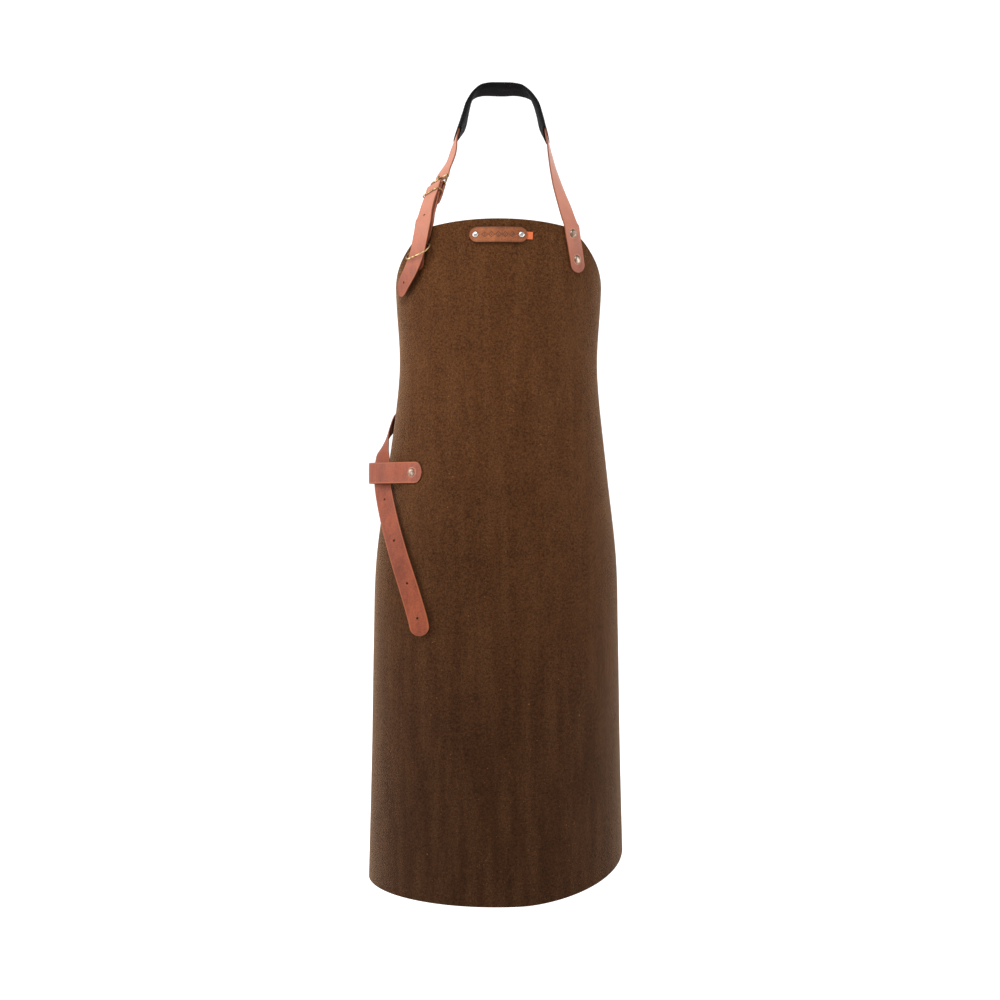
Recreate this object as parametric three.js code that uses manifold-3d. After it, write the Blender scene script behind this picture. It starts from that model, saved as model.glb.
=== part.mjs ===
// A full-length leather apron with a buckled neck loop and a waist belt, hung by the pad of its neck loop.
// Millimetres, +Z up. The front faces -Y and +X is at the right of someone who looks at the front.
// The origin is on the under face of the neck pad, where a peg or a neck carries it.
import * as THREE from "three";
import { mergeVertices } from "three/addons/utils/BufferGeometryUtils.js";
import Module from "manifold-3d";

const wasm = await Module();
wasm.setup();

// The cut leather
const apronLength = 1000;
const apronWidth = 700;
const bibWidth = 256; // along the top edge, corner to corner
const bibArch = 9; // how much higher the middle of the top edge is than its corners
const armholeDepth = 250; // from the bib's top edge to the corner of the side edge
const leather = 2.2;

// How it hangs
const bibDrop = 251; // from the origin down to the middle of the bib's top edge
const frontReach = 220; // from the origin forward to the middle of the panel
const chestHalfWidth = 158;
const chestDepth = 125;
const waistHalfWidth = 151;
const waistDepth = 125;
const hipHalfWidth = 190;
const hipDepth = 160;
const hemHalfWidth = 200;
const hemDepth = 185;
const hemSway = 4; // the skirt hangs this far to the left of the bib
const hemRise = 62; // the cut hem rises this much at the right side edge

// Straps and hardware
const neckWidth = 28;
const beltWidth = 30;
const strap = 2.2; // strap thickness
const gap = 0.4; // between pieces that lie on each other
const postRadius = 1.6;
const capRadius = 6;
const capHeight = 2.4;
const labelCapRadius = 4;
const washerThickness = 1.2;
const wire = 1.5; // radius of a buckle's bar
const thinWire = 1.1; // radius of a keeper's wire
const holeRadius = 1.9;
const labelLength = 85;
const labelWidth = 22.5;
const tagThickness = 0.8;
const padWidth = neckWidth + 7.6;
const padWall = 1.6;
const padClearance = 0.9;

const colours = {
  panel: 0x4e311d,
  tan: 0xb0664a,
  label: 0xa5673f,
  tag: 0xdf662e,
  pad: 0x17120f,
  rivet: 0x8d8279,
  brass: 0x9a7b4f,
};
const materials = {
  panel: new THREE.MeshStandardMaterial({ color: colours.panel, roughness: 0.8, metalness: 0 }),
  tan: new THREE.MeshStandardMaterial({ color: colours.tan, roughness: 0.55, metalness: 0 }),
  label: new THREE.MeshStandardMaterial({ color: colours.label, roughness: 0.5, metalness: 0 }),
  tag: new THREE.MeshStandardMaterial({ color: colours.tag, roughness: 0.8, metalness: 0 }),
  pad: new THREE.MeshStandardMaterial({ color: colours.pad, roughness: 0.9, metalness: 0 }),
  rivet: new THREE.MeshStandardMaterial({ color: colours.rivet, roughness: 0.35, metalness: 1 }),
  brass: new THREE.MeshStandardMaterial({ color: colours.brass, roughness: 0.35, metalness: 1 }),
};

const apron = new THREE.Group();
const vec = (x, y, z) => new THREE.Vector3(x, y, z);

// ---------- solids ----------

function toSolid(geometry) {
  const bare = geometry.clone();
  bare.deleteAttribute("normal");
  bare.deleteAttribute("uv");
  const merged = mergeVertices(bare, 1e-3);
  return new wasm.Manifold(
    new wasm.Mesh({
      numProp: 3,
      vertProperties: merged.attributes.position.array,
      triVerts: new Uint32Array(merged.index.array),
    }),
  );
}

function toGeometry(solid) {
  const mesh = solid.getMesh();
  const geometry = new THREE.BufferGeometry();
  geometry.setAttribute("position", new THREE.BufferAttribute(mesh.vertProperties, 3));
  geometry.setIndex(new THREE.BufferAttribute(mesh.triVerts, 1));
  geometry.computeVertexNormals();
  return geometry;
}

function addPiece(name, geometry, material) {
  const mesh = new THREE.Mesh(geometry, material);
  mesh.name = name;
  apron.add(mesh);
  return mesh;
}

// A box whose points are moved by place(across, through, along), each from -0.5 to 0.5.
function bentBox(acrossSteps, alongSteps, place) {
  const box = new THREE.BoxGeometry(1, 1, 1, acrossSteps, 1, alongSteps);
  const points = box.attributes.position;
  for (let i = 0; i < points.count; i++) {
    const moved = place(points.getX(i), points.getY(i), points.getZ(i));
    points.setXYZ(i, moved.x, moved.y, moved.z);
  }
  return box;
}

// A place with three square directions: side is the width, face points out, along is the length.
function makeFrame(point, along, face) {
  const a = along.clone().normalize();
  const f = face.clone().addScaledVector(a, -face.dot(a)).normalize();
  const side = new THREE.Vector3().crossVectors(f, a);
  return { point, along: a, face: f, side };
}

function frameMatrix(frame) {
  const basis = new THREE.Matrix4().makeBasis(frame.side, frame.face, frame.along);
  return basis.setPosition(frame.point);
}

function offset(frame, side, face, along) {
  return frame.point
    .clone()
    .addScaledVector(frame.side, side)
    .addScaledVector(frame.face, face)
    .addScaledVector(frame.along, along);
}

// The same frame moved along the length.
function shifted(frame, along) {
  return { ...frame, point: offset(frame, 0, 0, along) };
}

// ---------- the hanging panel ----------

// Each station is a height below the bib's top edge with the half width and depth of the front's curve there.
const stations = [
  { h: 0, a: chestHalfWidth, b: chestDepth },
  { h: 0.09 * apronLength, a: chestHalfWidth - 1, b: chestDepth },
  { h: 0.19 * apronLength, a: waistHalfWidth, b: waistDepth },
  { h: 0.24 * apronLength, a: waistHalfWidth + 2, b: waistDepth },
  { h: 0.37 * apronLength, a: 0.5 * (waistHalfWidth + hipHalfWidth) - 1, b: 0.5 * (waistDepth + hipDepth) },
  { h: 0.5 * apronLength, a: hipHalfWidth - 4, b: hipDepth - 6 },
  { h: 0.62 * apronLength, a: hipHalfWidth, b: hipDepth },
  { h: 0.8 * apronLength, a: 0.5 * (hipHalfWidth + hemHalfWidth) - 1, b: 0.5 * (hipDepth + hemDepth) },
  { h: apronLength, a: hemHalfWidth, b: hemDepth },
];
const stationCurve = new THREE.CatmullRomCurve3(
  stations.map((s) => vec(s.a, s.b, s.h)),
  false,
  "centripetal",
);
const arcSteps = 48;
const sideLean = 0.04; // the sides run back and a little inward
const tableStep = 10;

function stationAt(h) {
  let low = 0;
  let high = 1;
  for (let i = 0; i < 30; i++) {
    const middle = 0.5 * (low + high);
    if (stationCurve.getPoint(middle).z < h) low = middle;
    else high = middle;
  }
  return stationCurve.getPoint(0.5 * (low + high));
}

// The front's curve at one height as points spaced along the leather, from the middle to the side edge.
function sectionTable(h) {
  const { x: a, y: b } = stationAt(THREE.MathUtils.clamp(h, 0, apronLength));
  const table = [{ s: 0, x: 0, y: 0 }];
  for (let i = 1; i <= arcSteps; i++) {
    const turn = (0.5 * Math.PI * i) / arcSteps;
    const last = table[i - 1];
    const next = { x: a * Math.sin(turn), y: b * (1 - Math.cos(turn)) };
    next.s = last.s + Math.hypot(next.x - last.x, next.y - last.y);
    table.push(next);
  }
  return table;
}

const sections = [];
for (let h = -tableStep; h <= apronLength + tableStep; h += tableStep) sections.push(sectionTable(h));

function sectionPoint(table, s) {
  const end = table[table.length - 1];
  if (s >= end.s) {
    const run = s - end.s;
    return { x: end.x - sideLean * run, y: end.y + run };
  }
  let i = 1;
  while (table[i].s < s) i++;
  const from = table[i - 1];
  const to = table[i];
  const share = (s - from.s) / (to.s - from.s);
  return { x: from.x + share * (to.x - from.x), y: from.y + share * (to.y - from.y) };
}

// A point of the panel's middle surface: s along the leather from the centre line, h below the top edge.
function surfacePoint(s, h) {
  const row = THREE.MathUtils.clamp((h + tableStep) / tableStep, 0, sections.length - 1.001);
  const i = Math.floor(row);
  const upper = sectionPoint(sections[i], Math.abs(s));
  const lower = sectionPoint(sections[i + 1], Math.abs(s));
  const x = THREE.MathUtils.lerp(upper.x, lower.x, row - i);
  const y = THREE.MathUtils.lerp(upper.y, lower.y, row - i);
  const sway = hemSway * THREE.MathUtils.smoothstep(h, 0.15 * apronLength, 0.6 * apronLength);
  return vec(Math.sign(s) * x - sway, y - frontReach, -bibDrop - h);
}

// A frame on the panel: face points out of it, along points up it unless turned.
function panelFrame(s, h, lift = 0, turn = 0) {
  const reach = 6;
  const across = surfacePoint(s + reach, h).sub(surfacePoint(s - reach, h)).normalize();
  const up = surfacePoint(s, h - reach).sub(surfacePoint(s, h + reach)).normalize();
  const face = new THREE.Vector3().crossVectors(across, up);
  const along = up.clone().applyAxisAngle(face, turn);
  const frame = makeFrame(surfacePoint(s, h), along, face);
  frame.point.addScaledVector(frame.face, lift);
  return frame;
}

// The armhole in the flat, from the bib's corner to the side edge's corner: x along s, y down.
const sideHalf = 0.5 * apronWidth;
const bibHalf = 0.5 * bibWidth;
const armhole = new THREE.SplineCurve([
  new THREE.Vector2(bibHalf - 9, bibArch - 1.5),
  new THREE.Vector2(bibHalf, bibArch + 7),
  new THREE.Vector2(bibHalf + 0.1 * (sideHalf - bibHalf), 0.125 * armholeDepth),
  new THREE.Vector2(bibHalf + 0.32 * (sideHalf - bibHalf), 0.28 * armholeDepth),
  new THREE.Vector2(bibHalf + 0.64 * (sideHalf - bibHalf), 0.56 * armholeDepth),
  new THREE.Vector2(sideHalf, armholeDepth),
]);
const armholeRows = 13;
const skirtRows = 11;
const panelColumns = 36;
const rows = [];
for (let i = 0; i <= armholeRows; i++) {
  const point = armhole.getPoint(i / armholeRows);
  rows.push({ h: point.y, half: point.x });
}
const hemRadius = 26;
const hemRiseFrom = 40;
for (let i = 1; i <= skirtRows; i++) {
  const share = i / skirtRows;
  rows.push({ h: armholeDepth + share * (apronLength - hemRadius - armholeDepth), half: sideHalf });
}
for (const turn of [0.4, 0.8, 1.2]) {
  const h = apronLength - hemRadius * (1 - Math.sin(turn));
  rows.push({ h, half: sideHalf - hemRadius * (1 - Math.cos(turn)) });
}
rows.push({ h: apronLength, half: sideHalf - hemRadius });

function panelGeometry() {
  return bentBox(panelColumns, rows.length - 1, (across, through, along) => {
    const row = rows[Math.round((along + 0.5) * (rows.length - 1))];
    const u = 2 * across;
    const arch = row.h < armholeDepth ? bibArch * (1 - row.h / armholeDepth) : 0;
    const h = row.h - arch * (1 - u * u) * (row.h < bibArch + 10 ? 1 : 0.6);
    const s = u * row.half;
    const rise = hemRise * Math.max(0, (s - hemRiseFrom) / (sideHalf - hemRiseFrom)) ** 1.5;
    const share = Math.max(0, (row.h - armholeDepth) / (apronLength - armholeDepth));
    return panelFrame(s, h - rise * share ** 3, through * leather).point;
  });
}

// ---------- straps ----------

// A strap's route: its middle line and the way its outer face looks, from hand-set stations.
class Route {
  constructor(list) {
    this.curve = new THREE.CatmullRomCurve3(list.map((s) => s.point), false, "centripetal");
    this.faces = list.map((s) => s.face.clone().normalize());
    this.curve.arcLengthDivisions = 400;
    this.length = this.curve.getLength();
  }
  at(distance) {
    const t = this.curve.getUtoTmapping(0, distance);
    const step = t * (this.faces.length - 1);
    const i = Math.min(Math.floor(step), this.faces.length - 2);
    const face = this.faces[i].clone().lerp(this.faces[i + 1], step - i);
    return makeFrame(this.curve.getPoint(t), this.curve.getTangent(t), face);
  }
}

function distanceTo(route, point) {
  let best = 0;
  let nearest = Infinity;
  for (let d = 0; d <= route.length; d += 0.5) {
    const away = route.at(d).point.distanceTo(point);
    if (away < nearest) {
      nearest = away;
      best = d;
    }
  }
  return best;
}

// Where a rivet sits on a strap: the strap's own frame, moved out to its outer surface.
function rivetSeat(route, point) {
  const frame = route.at(distanceTo(route, point));
  frame.point.addScaledVector(frame.face, 0.5 * strap);
  return frame;
}

// The half width of a strap end of the given radius, at a distance from its tip.
function tipHalf(distance, half, tip) {
  if (!tip || distance >= tip) return half;
  const rest = 1 - distance / tip;
  return Math.max(0.12 * half, half * Math.sqrt(1 - rest * rest));
}

function strapGeometry(route, { from = 0, to = route.length, width, thick = strap, step = 9, tips = [0, 0] }) {
  const marks = [];
  for (const share of [0, 0.04, 0.15, 0.35, 0.65]) {
    if (tips[0]) marks.push(from + share * tips[0]);
    if (tips[1]) marks.push(to - share * tips[1]);
  }
  const count = Math.max(1, Math.round((to - from - tips[0] - tips[1]) / step));
  for (let i = 0; i <= count; i++) {
    marks.push(from + tips[0] + ((to - from - tips[0] - tips[1]) * i) / count);
  }
  marks.sort((p, q) => p - q);
  const places = marks.filter((m, i) => !i || m - marks[i - 1] > 0.05);
  return bentBox(1, places.length - 1, (across, through, along) => {
    const distance = places[Math.round((along + 0.5) * (places.length - 1))];
    const frame = route.at(distance);
    const half = 0.5 * width;
    const here = Math.min(tipHalf(distance - from, half, tips[0]), tipHalf(to - distance, half, tips[1]));
    return offset(frame, 2 * across * here, through * thick, 0);
  });
}

function drill(solid, frame, radius, reach = 6, sides = 8) {
  const tool = new THREE.CylinderGeometry(radius, radius, 2 * reach, sides);
  tool.applyMatrix4(frameMatrix(frame));
  return solid.subtract(toSolid(tool));
}

// A slot along the strap's length.
function slot(solid, frame, width, length, reach) {
  const tool = new THREE.BoxGeometry(width, 2 * reach, length);
  tool.applyMatrix4(frameMatrix(frame));
  return solid.subtract(toSolid(tool));
}

// ---------- rivets ----------

const rivetSides = 10;
const rivetSlack = 0.3; // round the post, and under the washer

// A cap with its post and a washer behind: the frame's point is on the outermost surface.
function addRivet(name, frame, grip, radius = capRadius) {
  const height = (capHeight * radius) / capRadius;
  const cap = new THREE.LatheGeometry(
    [
      new THREE.Vector2(0, -grip - washerThickness - gap - rivetSlack),
      new THREE.Vector2(postRadius, -grip - washerThickness - gap - rivetSlack),
      new THREE.Vector2(postRadius, gap),
      new THREE.Vector2(radius, gap),
      new THREE.Vector2(radius, gap + 0.3 * height),
      new THREE.Vector2(0.86 * radius, gap + 0.66 * height),
      new THREE.Vector2(0.5 * radius, gap + 0.92 * height),
      new THREE.Vector2(0, gap + height),
    ],
    rivetSides,
  );
  const inner = postRadius + rivetSlack;
  const outer = 0.85 * radius;
  const top = -grip - gap - rivetSlack;
  const washer = new THREE.LatheGeometry(
    [
      new THREE.Vector2(inner, top - washerThickness),
      new THREE.Vector2(outer, top - washerThickness),
      new THREE.Vector2(outer, top),
      new THREE.Vector2(inner, top),
      new THREE.Vector2(inner, top - washerThickness),
    ],
    rivetSides,
  );
  for (const [part, geometry] of [
    ["cap", cap],
    ["washer", washer],
  ]) {
    addPiece(name + "_" + part, geometry, materials.rivet).applyMatrix4(frameMatrix(frame));
  }
}

// ---------- buckles ----------

// Distances along the strap from the buckle's bar, positive towards the rail, and out of the strap's face.
const barToRail = 19;
const barRoom = wire + gap + 0.5 * strap; // from the bar's axis to a strap that turns round it
const tailOverBar = barRoom + strap + gap + 0.8;
const tailUnderRail = -(wire + 1.4 + 0.5 * strap);
const foldClosed = 0.5 * strap + 0.5 * gap + 0.2; // from the fold's middle to a layer's, at its end

// The points of a loop with round corners, in a plane given by place(across, other).
function roundedLoop(halfWide, low, high, corner, place) {
  const cornerSteps = 4;
  const centres = [
    [halfWide - corner, low + corner],
    [halfWide - corner, high - corner],
    [corner - halfWide, high - corner],
    [corner - halfWide, low + corner],
  ];
  const points = [];
  centres.forEach(([across, other], i) => {
    for (let k = 0; k <= cornerSteps; k++) {
      const turn = 0.5 * Math.PI * (i - 1 + k / cornerSteps);
      points.push(place(across + corner * Math.cos(turn), other + corner * Math.sin(turn)));
    }
  });
  return points;
}

function closedWire(points, radius, steps = points.length + 6, sides = 6) {
  const curve = new THREE.CatmullRomCurve3(points, true, "centripetal");
  return new THREE.TubeGeometry(curve, steps, radius, sides, true);
}

function openWire(points, radius, steps) {
  const circle = new THREE.Shape().absarc(0, 0, radius, 0, 2 * Math.PI);
  const curve = new THREE.CatmullRomCurve3(points, false, "centripetal");
  return new THREE.ExtrudeGeometry(circle, { steps, curveSegments: 3, extrudePath: curve, bevelEnabled: false });
}

const prongOverRail = wire + 0.3 + thinWire;
const prongSlot = 2 * thinWire + 2.4;

// Frame, prong and keeper, in the frame of the bar: along points at the rail.
function addBuckle(prefix, bar, width, keeperAt) {
  const half = 0.5 * width + 1.2 + wire;
  const frameLoop = roundedLoop(half, 0, barToRail, 2.6, (side, along) => offset(bar, side, 0, along));
  addPiece(prefix + "_buckle_frame", closedWire(frameLoop, wire), materials.brass);

  const eyeRadius = wire + 0.35 + thinWire;
  const eye = new THREE.TorusGeometry(eyeRadius, thinWire, 6, 14);
  eye.rotateY(0.5 * Math.PI);
  eye.applyMatrix4(frameMatrix(bar));
  const finger = [
    [eyeRadius, 0],
    [0.5 * barToRail, 0.34 * prongOverRail],
    [0.85 * barToRail, 0.85 * prongOverRail],
    [barToRail, prongOverRail],
    [barToRail + 3.5, prongOverRail],
  ].map(([along, face]) => offset(bar, 0, face, along));
  const prong = toSolid(eye).add(toSolid(openWire(finger, thinWire, 8)));
  addPiece(prefix + "_buckle_prong", toGeometry(prong), materials.brass);

  const keeperHalf = 0.5 * width + 1 + thinWire;
  const keeperTop = tailOverBar + 0.5 * strap + 3 * gap + thinWire;
  const keeperLoop = roundedLoop(keeperHalf, 0, keeperTop, 2, (side, face) => offset(bar, side, face, keeperAt));
  addPiece(prefix + "_wire_keeper", closedWire(keeperLoop, thinWire), materials.brass);
}

// Stations of a strap that turns round the bar: its return end lies behind, its long run in front.
function foldStations(bar, returnLength, keeperAt) {
  const parallel = keeperAt - 7;
  const list = [
    { point: offset(bar, 0, -foldClosed, -returnLength), face: bar.face.clone().negate() },
    { point: offset(bar, 0, -barRoom, parallel), face: bar.face.clone().negate() },
    { point: offset(bar, 0, -barRoom, 0.5 * parallel), face: bar.face.clone().negate() },
  ];
  for (let i = 0; i <= 6; i++) {
    const turn = Math.PI * (i / 6 - 0.5);
    const face = bar.face
      .clone()
      .multiplyScalar(Math.sin(turn))
      .addScaledVector(bar.along, Math.cos(turn));
    list.push({ point: bar.point.clone().addScaledVector(face, barRoom), face });
  }
  for (const along of [0.5 * parallel, parallel]) {
    list.push({ point: offset(bar, 0, barRoom, along), face: bar.face });
  }
  list.push({ point: offset(bar, 0, foldClosed, -returnLength), face: bar.face });
  return list;
}

// Stations of a strap that comes from behind the rail and lies over the fold.
function threadStations(bar, foldLength) {
  return [
    [barToRail + 14, 0.8 * tailUnderRail],
    [barToRail + 1, tailUnderRail],
    [0.5 * barToRail, 0.5 * (tailUnderRail + tailOverBar)],
    [0, tailOverBar],
    [-0.5 * foldLength, tailOverBar + 0.3],
    [-foldLength, tailOverBar + 1.2],
  ].map(([along, face]) => ({ point: offset(bar, 0, face, along), face: bar.face }));
}

const onPanel = (s, h, lift, turn = 0) => {
  const frame = panelFrame(s, h, lift, turn);
  return { point: frame.point, face: frame.face };
};
const free = (x, y, z, fx, fy, fz) => ({ point: vec(x, y, z), face: vec(fx, fy, fz) });

// ---------- the pieces ----------

const skin = 0.5 * leather; // from the panel's middle to its surface
const halfStrap = 0.5 * strap;
const flat = skin + gap + halfStrap; // lift of a strap that lies on the panel
const grip = leather + gap + strap; // from a flat strap's outside to the back of the panel

let panel = toSolid(panelGeometry());

// Neck loop, buckle side
const neckFace = 0.87; // radians that the strap's face is turned to the front at the buckle
const neckBar = makeFrame(
  vec(-92, -146, -187),
  vec(0.17, 0.6, 0.78),
  vec(-Math.cos(neckFace), -0.75 * Math.sin(neckFace), 0.65 * Math.sin(neckFace)),
);
const neckKeeperAt = -21;
const neckFold = 45;
addBuckle("neck", neckBar, neckWidth, neckKeeperAt);

const bibS = bibHalf - 0.5 * neckWidth + 3; // where the straps' middles cross the bib's top edge
const sleeveLift = skin + gap + 2 * thinWire + gap + halfStrap + 0.5; // over the ring's wire
const standLift = flat + 1;
const tailLift = standLift + halfStrap + gap + capHeight + gap + halfStrap + 0.4;
const ringH = 34;
const buckleRivets = [
  { s: -(bibS - 2.5), h: 13 },
  { s: -(bibS + 11), h: 54 },
];

const buckleStrap = new Route([
  ...foldStations(neckBar, neckFold, neckKeeperAt),
  onPanel(-(bibS - 6.5), -4, standLift - 0.4),
  onPanel(-(bibS - 4), 5, standLift),
  onPanel(-(bibS - 1), 15, standLift),
  onPanel(-(bibS + 1.5), 21, standLift + 0.6),
  onPanel(-(bibS + 4), ringH - 7, sleeveLift),
  onPanel(-(bibS + 6), ringH, sleeveLift),
  onPanel(-(bibS + 8), ringH + 7, sleeveLift),
  onPanel(-(bibS + 11), 54, standLift),
  onPanel(-(bibS + 14), 67, standLift),
]);
let buckleStrapSolid = toSolid(strapGeometry(buckleStrap, { width: neckWidth, step: 2.6, tips: [3, 10] }));
buckleStrapSolid = slot(buckleStrapSolid, shifted(neckBar, -1), prongSlot, 13, 12);

for (const [i, { s, h }] of buckleRivets.entries()) {
  const frame = rivetSeat(buckleStrap, panelFrame(s, h, standLift).point);
  panel = drill(panel, frame, holeRadius, 9);
  buckleStrapSolid = drill(buckleStrapSolid, frame, holeRadius, 4);
  addRivet("bib_left_rivet_" + (i + 1), frame, standLift + halfStrap + skin);
}
const foldRivetAt = -0.8 * neckFold;
const foldRivet = shifted(neckBar, foldRivetAt);
const foldSpread = foldClosed + 0.55 * (barRoom - foldClosed);
buckleStrapSolid = drill(buckleStrapSolid, foldRivet, holeRadius, 6);
foldRivet.point.addScaledVector(neckBar.face, foldSpread + halfStrap);
addRivet("neck_fold_rivet", foldRivet, 2 * (foldSpread + halfStrap), labelCapRadius);
addPiece("neck_buckle_strap", toGeometry(buckleStrapSolid), materials.tan);

// Neck loop, the long strap from the right bib corner over the nape to the loose end
const padThick = strap + 2 * padClearance + 2 * padWall;
const nape = vec(0, 0.31, 0.95).normalize();
const napeMiddle = nape.clone().multiplyScalar(0.5 * padThick);
const sideFace = (hand, turn) => [hand * Math.cos(turn), -0.75 * Math.sin(turn), 0.65 * Math.sin(turn)];
const rightRivets = [
  { s: bibS - 2, h: 15 },
  { s: bibS + 6, h: 52 },
];
const longStrap = new Route([
  onPanel(bibS + 10, 71, flat),
  onPanel(rightRivets[1].s, rightRivets[1].h, flat),
  onPanel(bibS + 2, 33, flat),
  onPanel(rightRivets[0].s, rightRivets[0].h, flat),
  onPanel(bibS - 4, 4, flat),
  free(104.5, -185, -245, ...sideFace(1, 1.02)),
  free(97.5, -168, -217.5, ...sideFace(1, 0.92)),
  free(90.5, -149, -189.5, ...sideFace(1, 0.76)),
  free(82.5, -114, -144.5, ...sideFace(1, 0.46)),
  free(77, -75, -99.5, ...sideFace(1, 0.2)),
  free(68.5, -46, -65, 1, 0, 0.05),
  free(62.5, -23, -34.5, 0.97, 0, 0.2),
  free(52.5, -7, -10, 0.62, 0.1, 0.75),
  free(40, 0, 0.5, 0.2, 0.28, 0.93),
  ...[24, 12, 0, -16].map((x) => ({ point: vec(x, napeMiddle.y, napeMiddle.z), face: nape })),
  free(-31, 0, 0.5, -0.2, 0.28, 0.93),
  free(-42.5, -7, -10, -0.62, 0.1, 0.75),
  free(-50, -23, -34, -0.97, 0, 0.2),
  free(-55.5, -44, -62.5, -1, 0, 0.05),
  free(-67.5, -71, -97, ...sideFace(-1, 0.32)),
  free(-73, -101, -132.5, ...sideFace(-1, 0.6)),
  ...threadStations(neckBar, neckFold),
  onPanel(-(bibS - 6.5), -4, tailLift + 0.6),
  onPanel(-(bibS - 0.5), 20, tailLift),
  onPanel(-(bibS + 7), 46, tailLift),
  onPanel(-(bibS + 17), 66, tailLift + 1),
  onPanel(-(bibS + 32), 82, tailLift),
  onPanel(-(bibS + 52), 98, 7),
]);
const flexGap = 0.5; // between a strap and the end of it that flexes
const neckSplit = distanceTo(longStrap, onPanel(-(bibS + 14), 63, tailLift + 1).point);
let longSolid = toSolid(
  strapGeometry(longStrap, { to: neckSplit - 0.5 * flexGap, width: neckWidth, step: 7, tips: [11, 0] }),
);
let neckTail = toSolid(
  strapGeometry(longStrap, { from: neckSplit + 0.5 * flexGap, width: neckWidth, step: 6, tips: [0, 17] }),
);
for (const [i, { s, h }] of rightRivets.entries()) {
  const frame = rivetSeat(longStrap, panelFrame(s, h, flat).point);
  panel = drill(panel, frame, holeRadius, 9);
  longSolid = drill(longSolid, frame, holeRadius, 4);
  addRivet("bib_right_rivet_" + (i + 1), frame, grip);
}
const neckHoles = [25, 71, 133]; // from the loose tip
for (const back of neckHoles) {
  const distance = longStrap.length - back;
  if (distance > neckSplit) neckTail = drill(neckTail, longStrap.at(distance), holeRadius, 4);
  else longSolid = drill(longSolid, longStrap.at(distance), holeRadius, 3);
}
const neckCross = offset(neckBar, 0, 0.5 * (tailUnderRail + tailOverBar), 0.5 * barToRail);
longSolid = slot(longSolid, longStrap.at(distanceTo(longStrap, neckCross)), 2 * thinWire + 2, 11, 4);
addPiece("neck_strap", toGeometry(longSolid), materials.tan);
addPiece("neck_strap_tail", toGeometry(neckTail), materials.tan);

// The pad is a flat sleeve that the strap runs through
const padFrom = distanceTo(longStrap, vec(78, -66, -90));
const padTo = distanceTo(longStrap, vec(-67, -65, -86));
const padOuter = toSolid(strapGeometry(longStrap, { from: padFrom, to: padTo, width: padWidth, thick: padThick }));
const padInner = toSolid(
  strapGeometry(longStrap, {
    from: padFrom - 3,
    to: padTo + 3,
    width: neckWidth + 2 * padClearance,
    thick: strap + 2 * padClearance,
  }),
);
addPiece("neck_pad", toGeometry(padOuter.subtract(padInner)), materials.pad);

// The oval ring is caught between the two left rivets, hangs over the loose end and leans down
const ringTilt = 0.86;
const ringSkew = 0.42;
const ringBack = panelFrame(-(bibS + 6), ringH, skin + gap + thinWire, -0.2 + ringSkew);
const ringDepth = (tailLift + halfStrap + 2 * gap + 2 * thinWire - skin - gap) / Math.cos(ringTilt);
const ringHalf = 0.5 * neckWidth + 9.5;
const ringLoop = roundedLoop(ringHalf, 0, ringDepth, 0.48 * ringDepth, (side, out) =>
  offset(ringBack, side, out * Math.cos(ringTilt), -out * Math.sin(ringTilt)),
);
addPiece("neck_ring_keeper", closedWire(ringLoop, thinWire), materials.brass);

// Label and its tag
const labelH = 22.5;
const labelLift = skin + gap + tagThickness + gap + halfStrap;
const labelSpan = 0.5 * labelLength + 8;
const across = [-labelSpan, -0.5 * labelSpan, 0, 0.5 * labelSpan, labelSpan];
const labelRoute = new Route(across.map((s) => onPanel(s, labelH, labelLift)));
const labelMiddle = 0.5 * labelRoute.length;
let label = toSolid(
  strapGeometry(labelRoute, {
    from: labelMiddle - 0.5 * labelLength,
    to: labelMiddle + 0.5 * labelLength,
    width: labelWidth,
    tips: [0.5 * labelWidth, 0.5 * labelWidth],
  }),
);
const labelRivetAt = 0.5 * labelLength - 9.5;
for (const [name, s] of [
  ["label_left_rivet", -labelRivetAt],
  ["label_right_rivet", labelRivetAt],
]) {
  const frame = panelFrame(s, labelH, labelLift + halfStrap);
  panel = drill(panel, frame, holeRadius, 8);
  label = drill(label, frame, holeRadius, 3);
  addRivet(name, frame, labelLift + halfStrap + skin, labelCapRadius);
}
addPiece("label_patch", toGeometry(label), materials.label);

const tagLength = 12;
const tagEnd = 0.5 * labelLength + 7.5;
const tagSpots = [tagEnd - tagLength, tagEnd - 0.5 * tagLength, tagEnd];
const tagRoute = new Route(tagSpots.map((s) => onPanel(s, labelH + 0.5, skin + gap + 0.5 * tagThickness)));
addPiece("label_tag", strapGeometry(tagRoute, { width: 11, thick: tagThickness, step: 4 }), materials.tag);

// Waist belt
const beltH = armholeDepth + 33;
const beltZ = -bibDrop - beltH;
const waistBar = makeFrame(vec(-122, 72, beltZ), vec(0.86, 0.5, 0), vec(-0.5, 0.86, 0));
const waistKeeperAt = -10;
const waistFold = 26;
addBuckle("waist", waistBar, beltWidth, waistKeeperAt);

const beltRivets = [sideHalf - 38, sideHalf - 14];
const beltEnd = sideHalf - 53;
const waistBuckleStrap = new Route([
  ...foldStations(waistBar, waistFold, waistKeeperAt),
  onPanel(-(sideHalf + 4), beltH, flat + 0.6),
  onPanel(-(sideHalf - 2), beltH, flat + 0.4),
  onPanel(-beltRivets[1], beltH, flat),
  onPanel(-beltRivets[0], beltH, flat),
  onPanel(-beltEnd, beltH, flat),
]);
let waistBuckleSolid = toSolid(strapGeometry(waistBuckleStrap, { width: beltWidth, step: 2.6, tips: [3, 13] }));
waistBuckleSolid = slot(waistBuckleSolid, shifted(waistBar, -1), prongSlot, 13, 12);
const waistFoldRivet = shifted(waistBar, -0.77 * waistFold);
waistBuckleSolid = drill(waistBuckleSolid, waistFoldRivet, holeRadius, 6);
waistFoldRivet.point.addScaledVector(waistBar.face, barRoom + halfStrap - 0.3);
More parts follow.
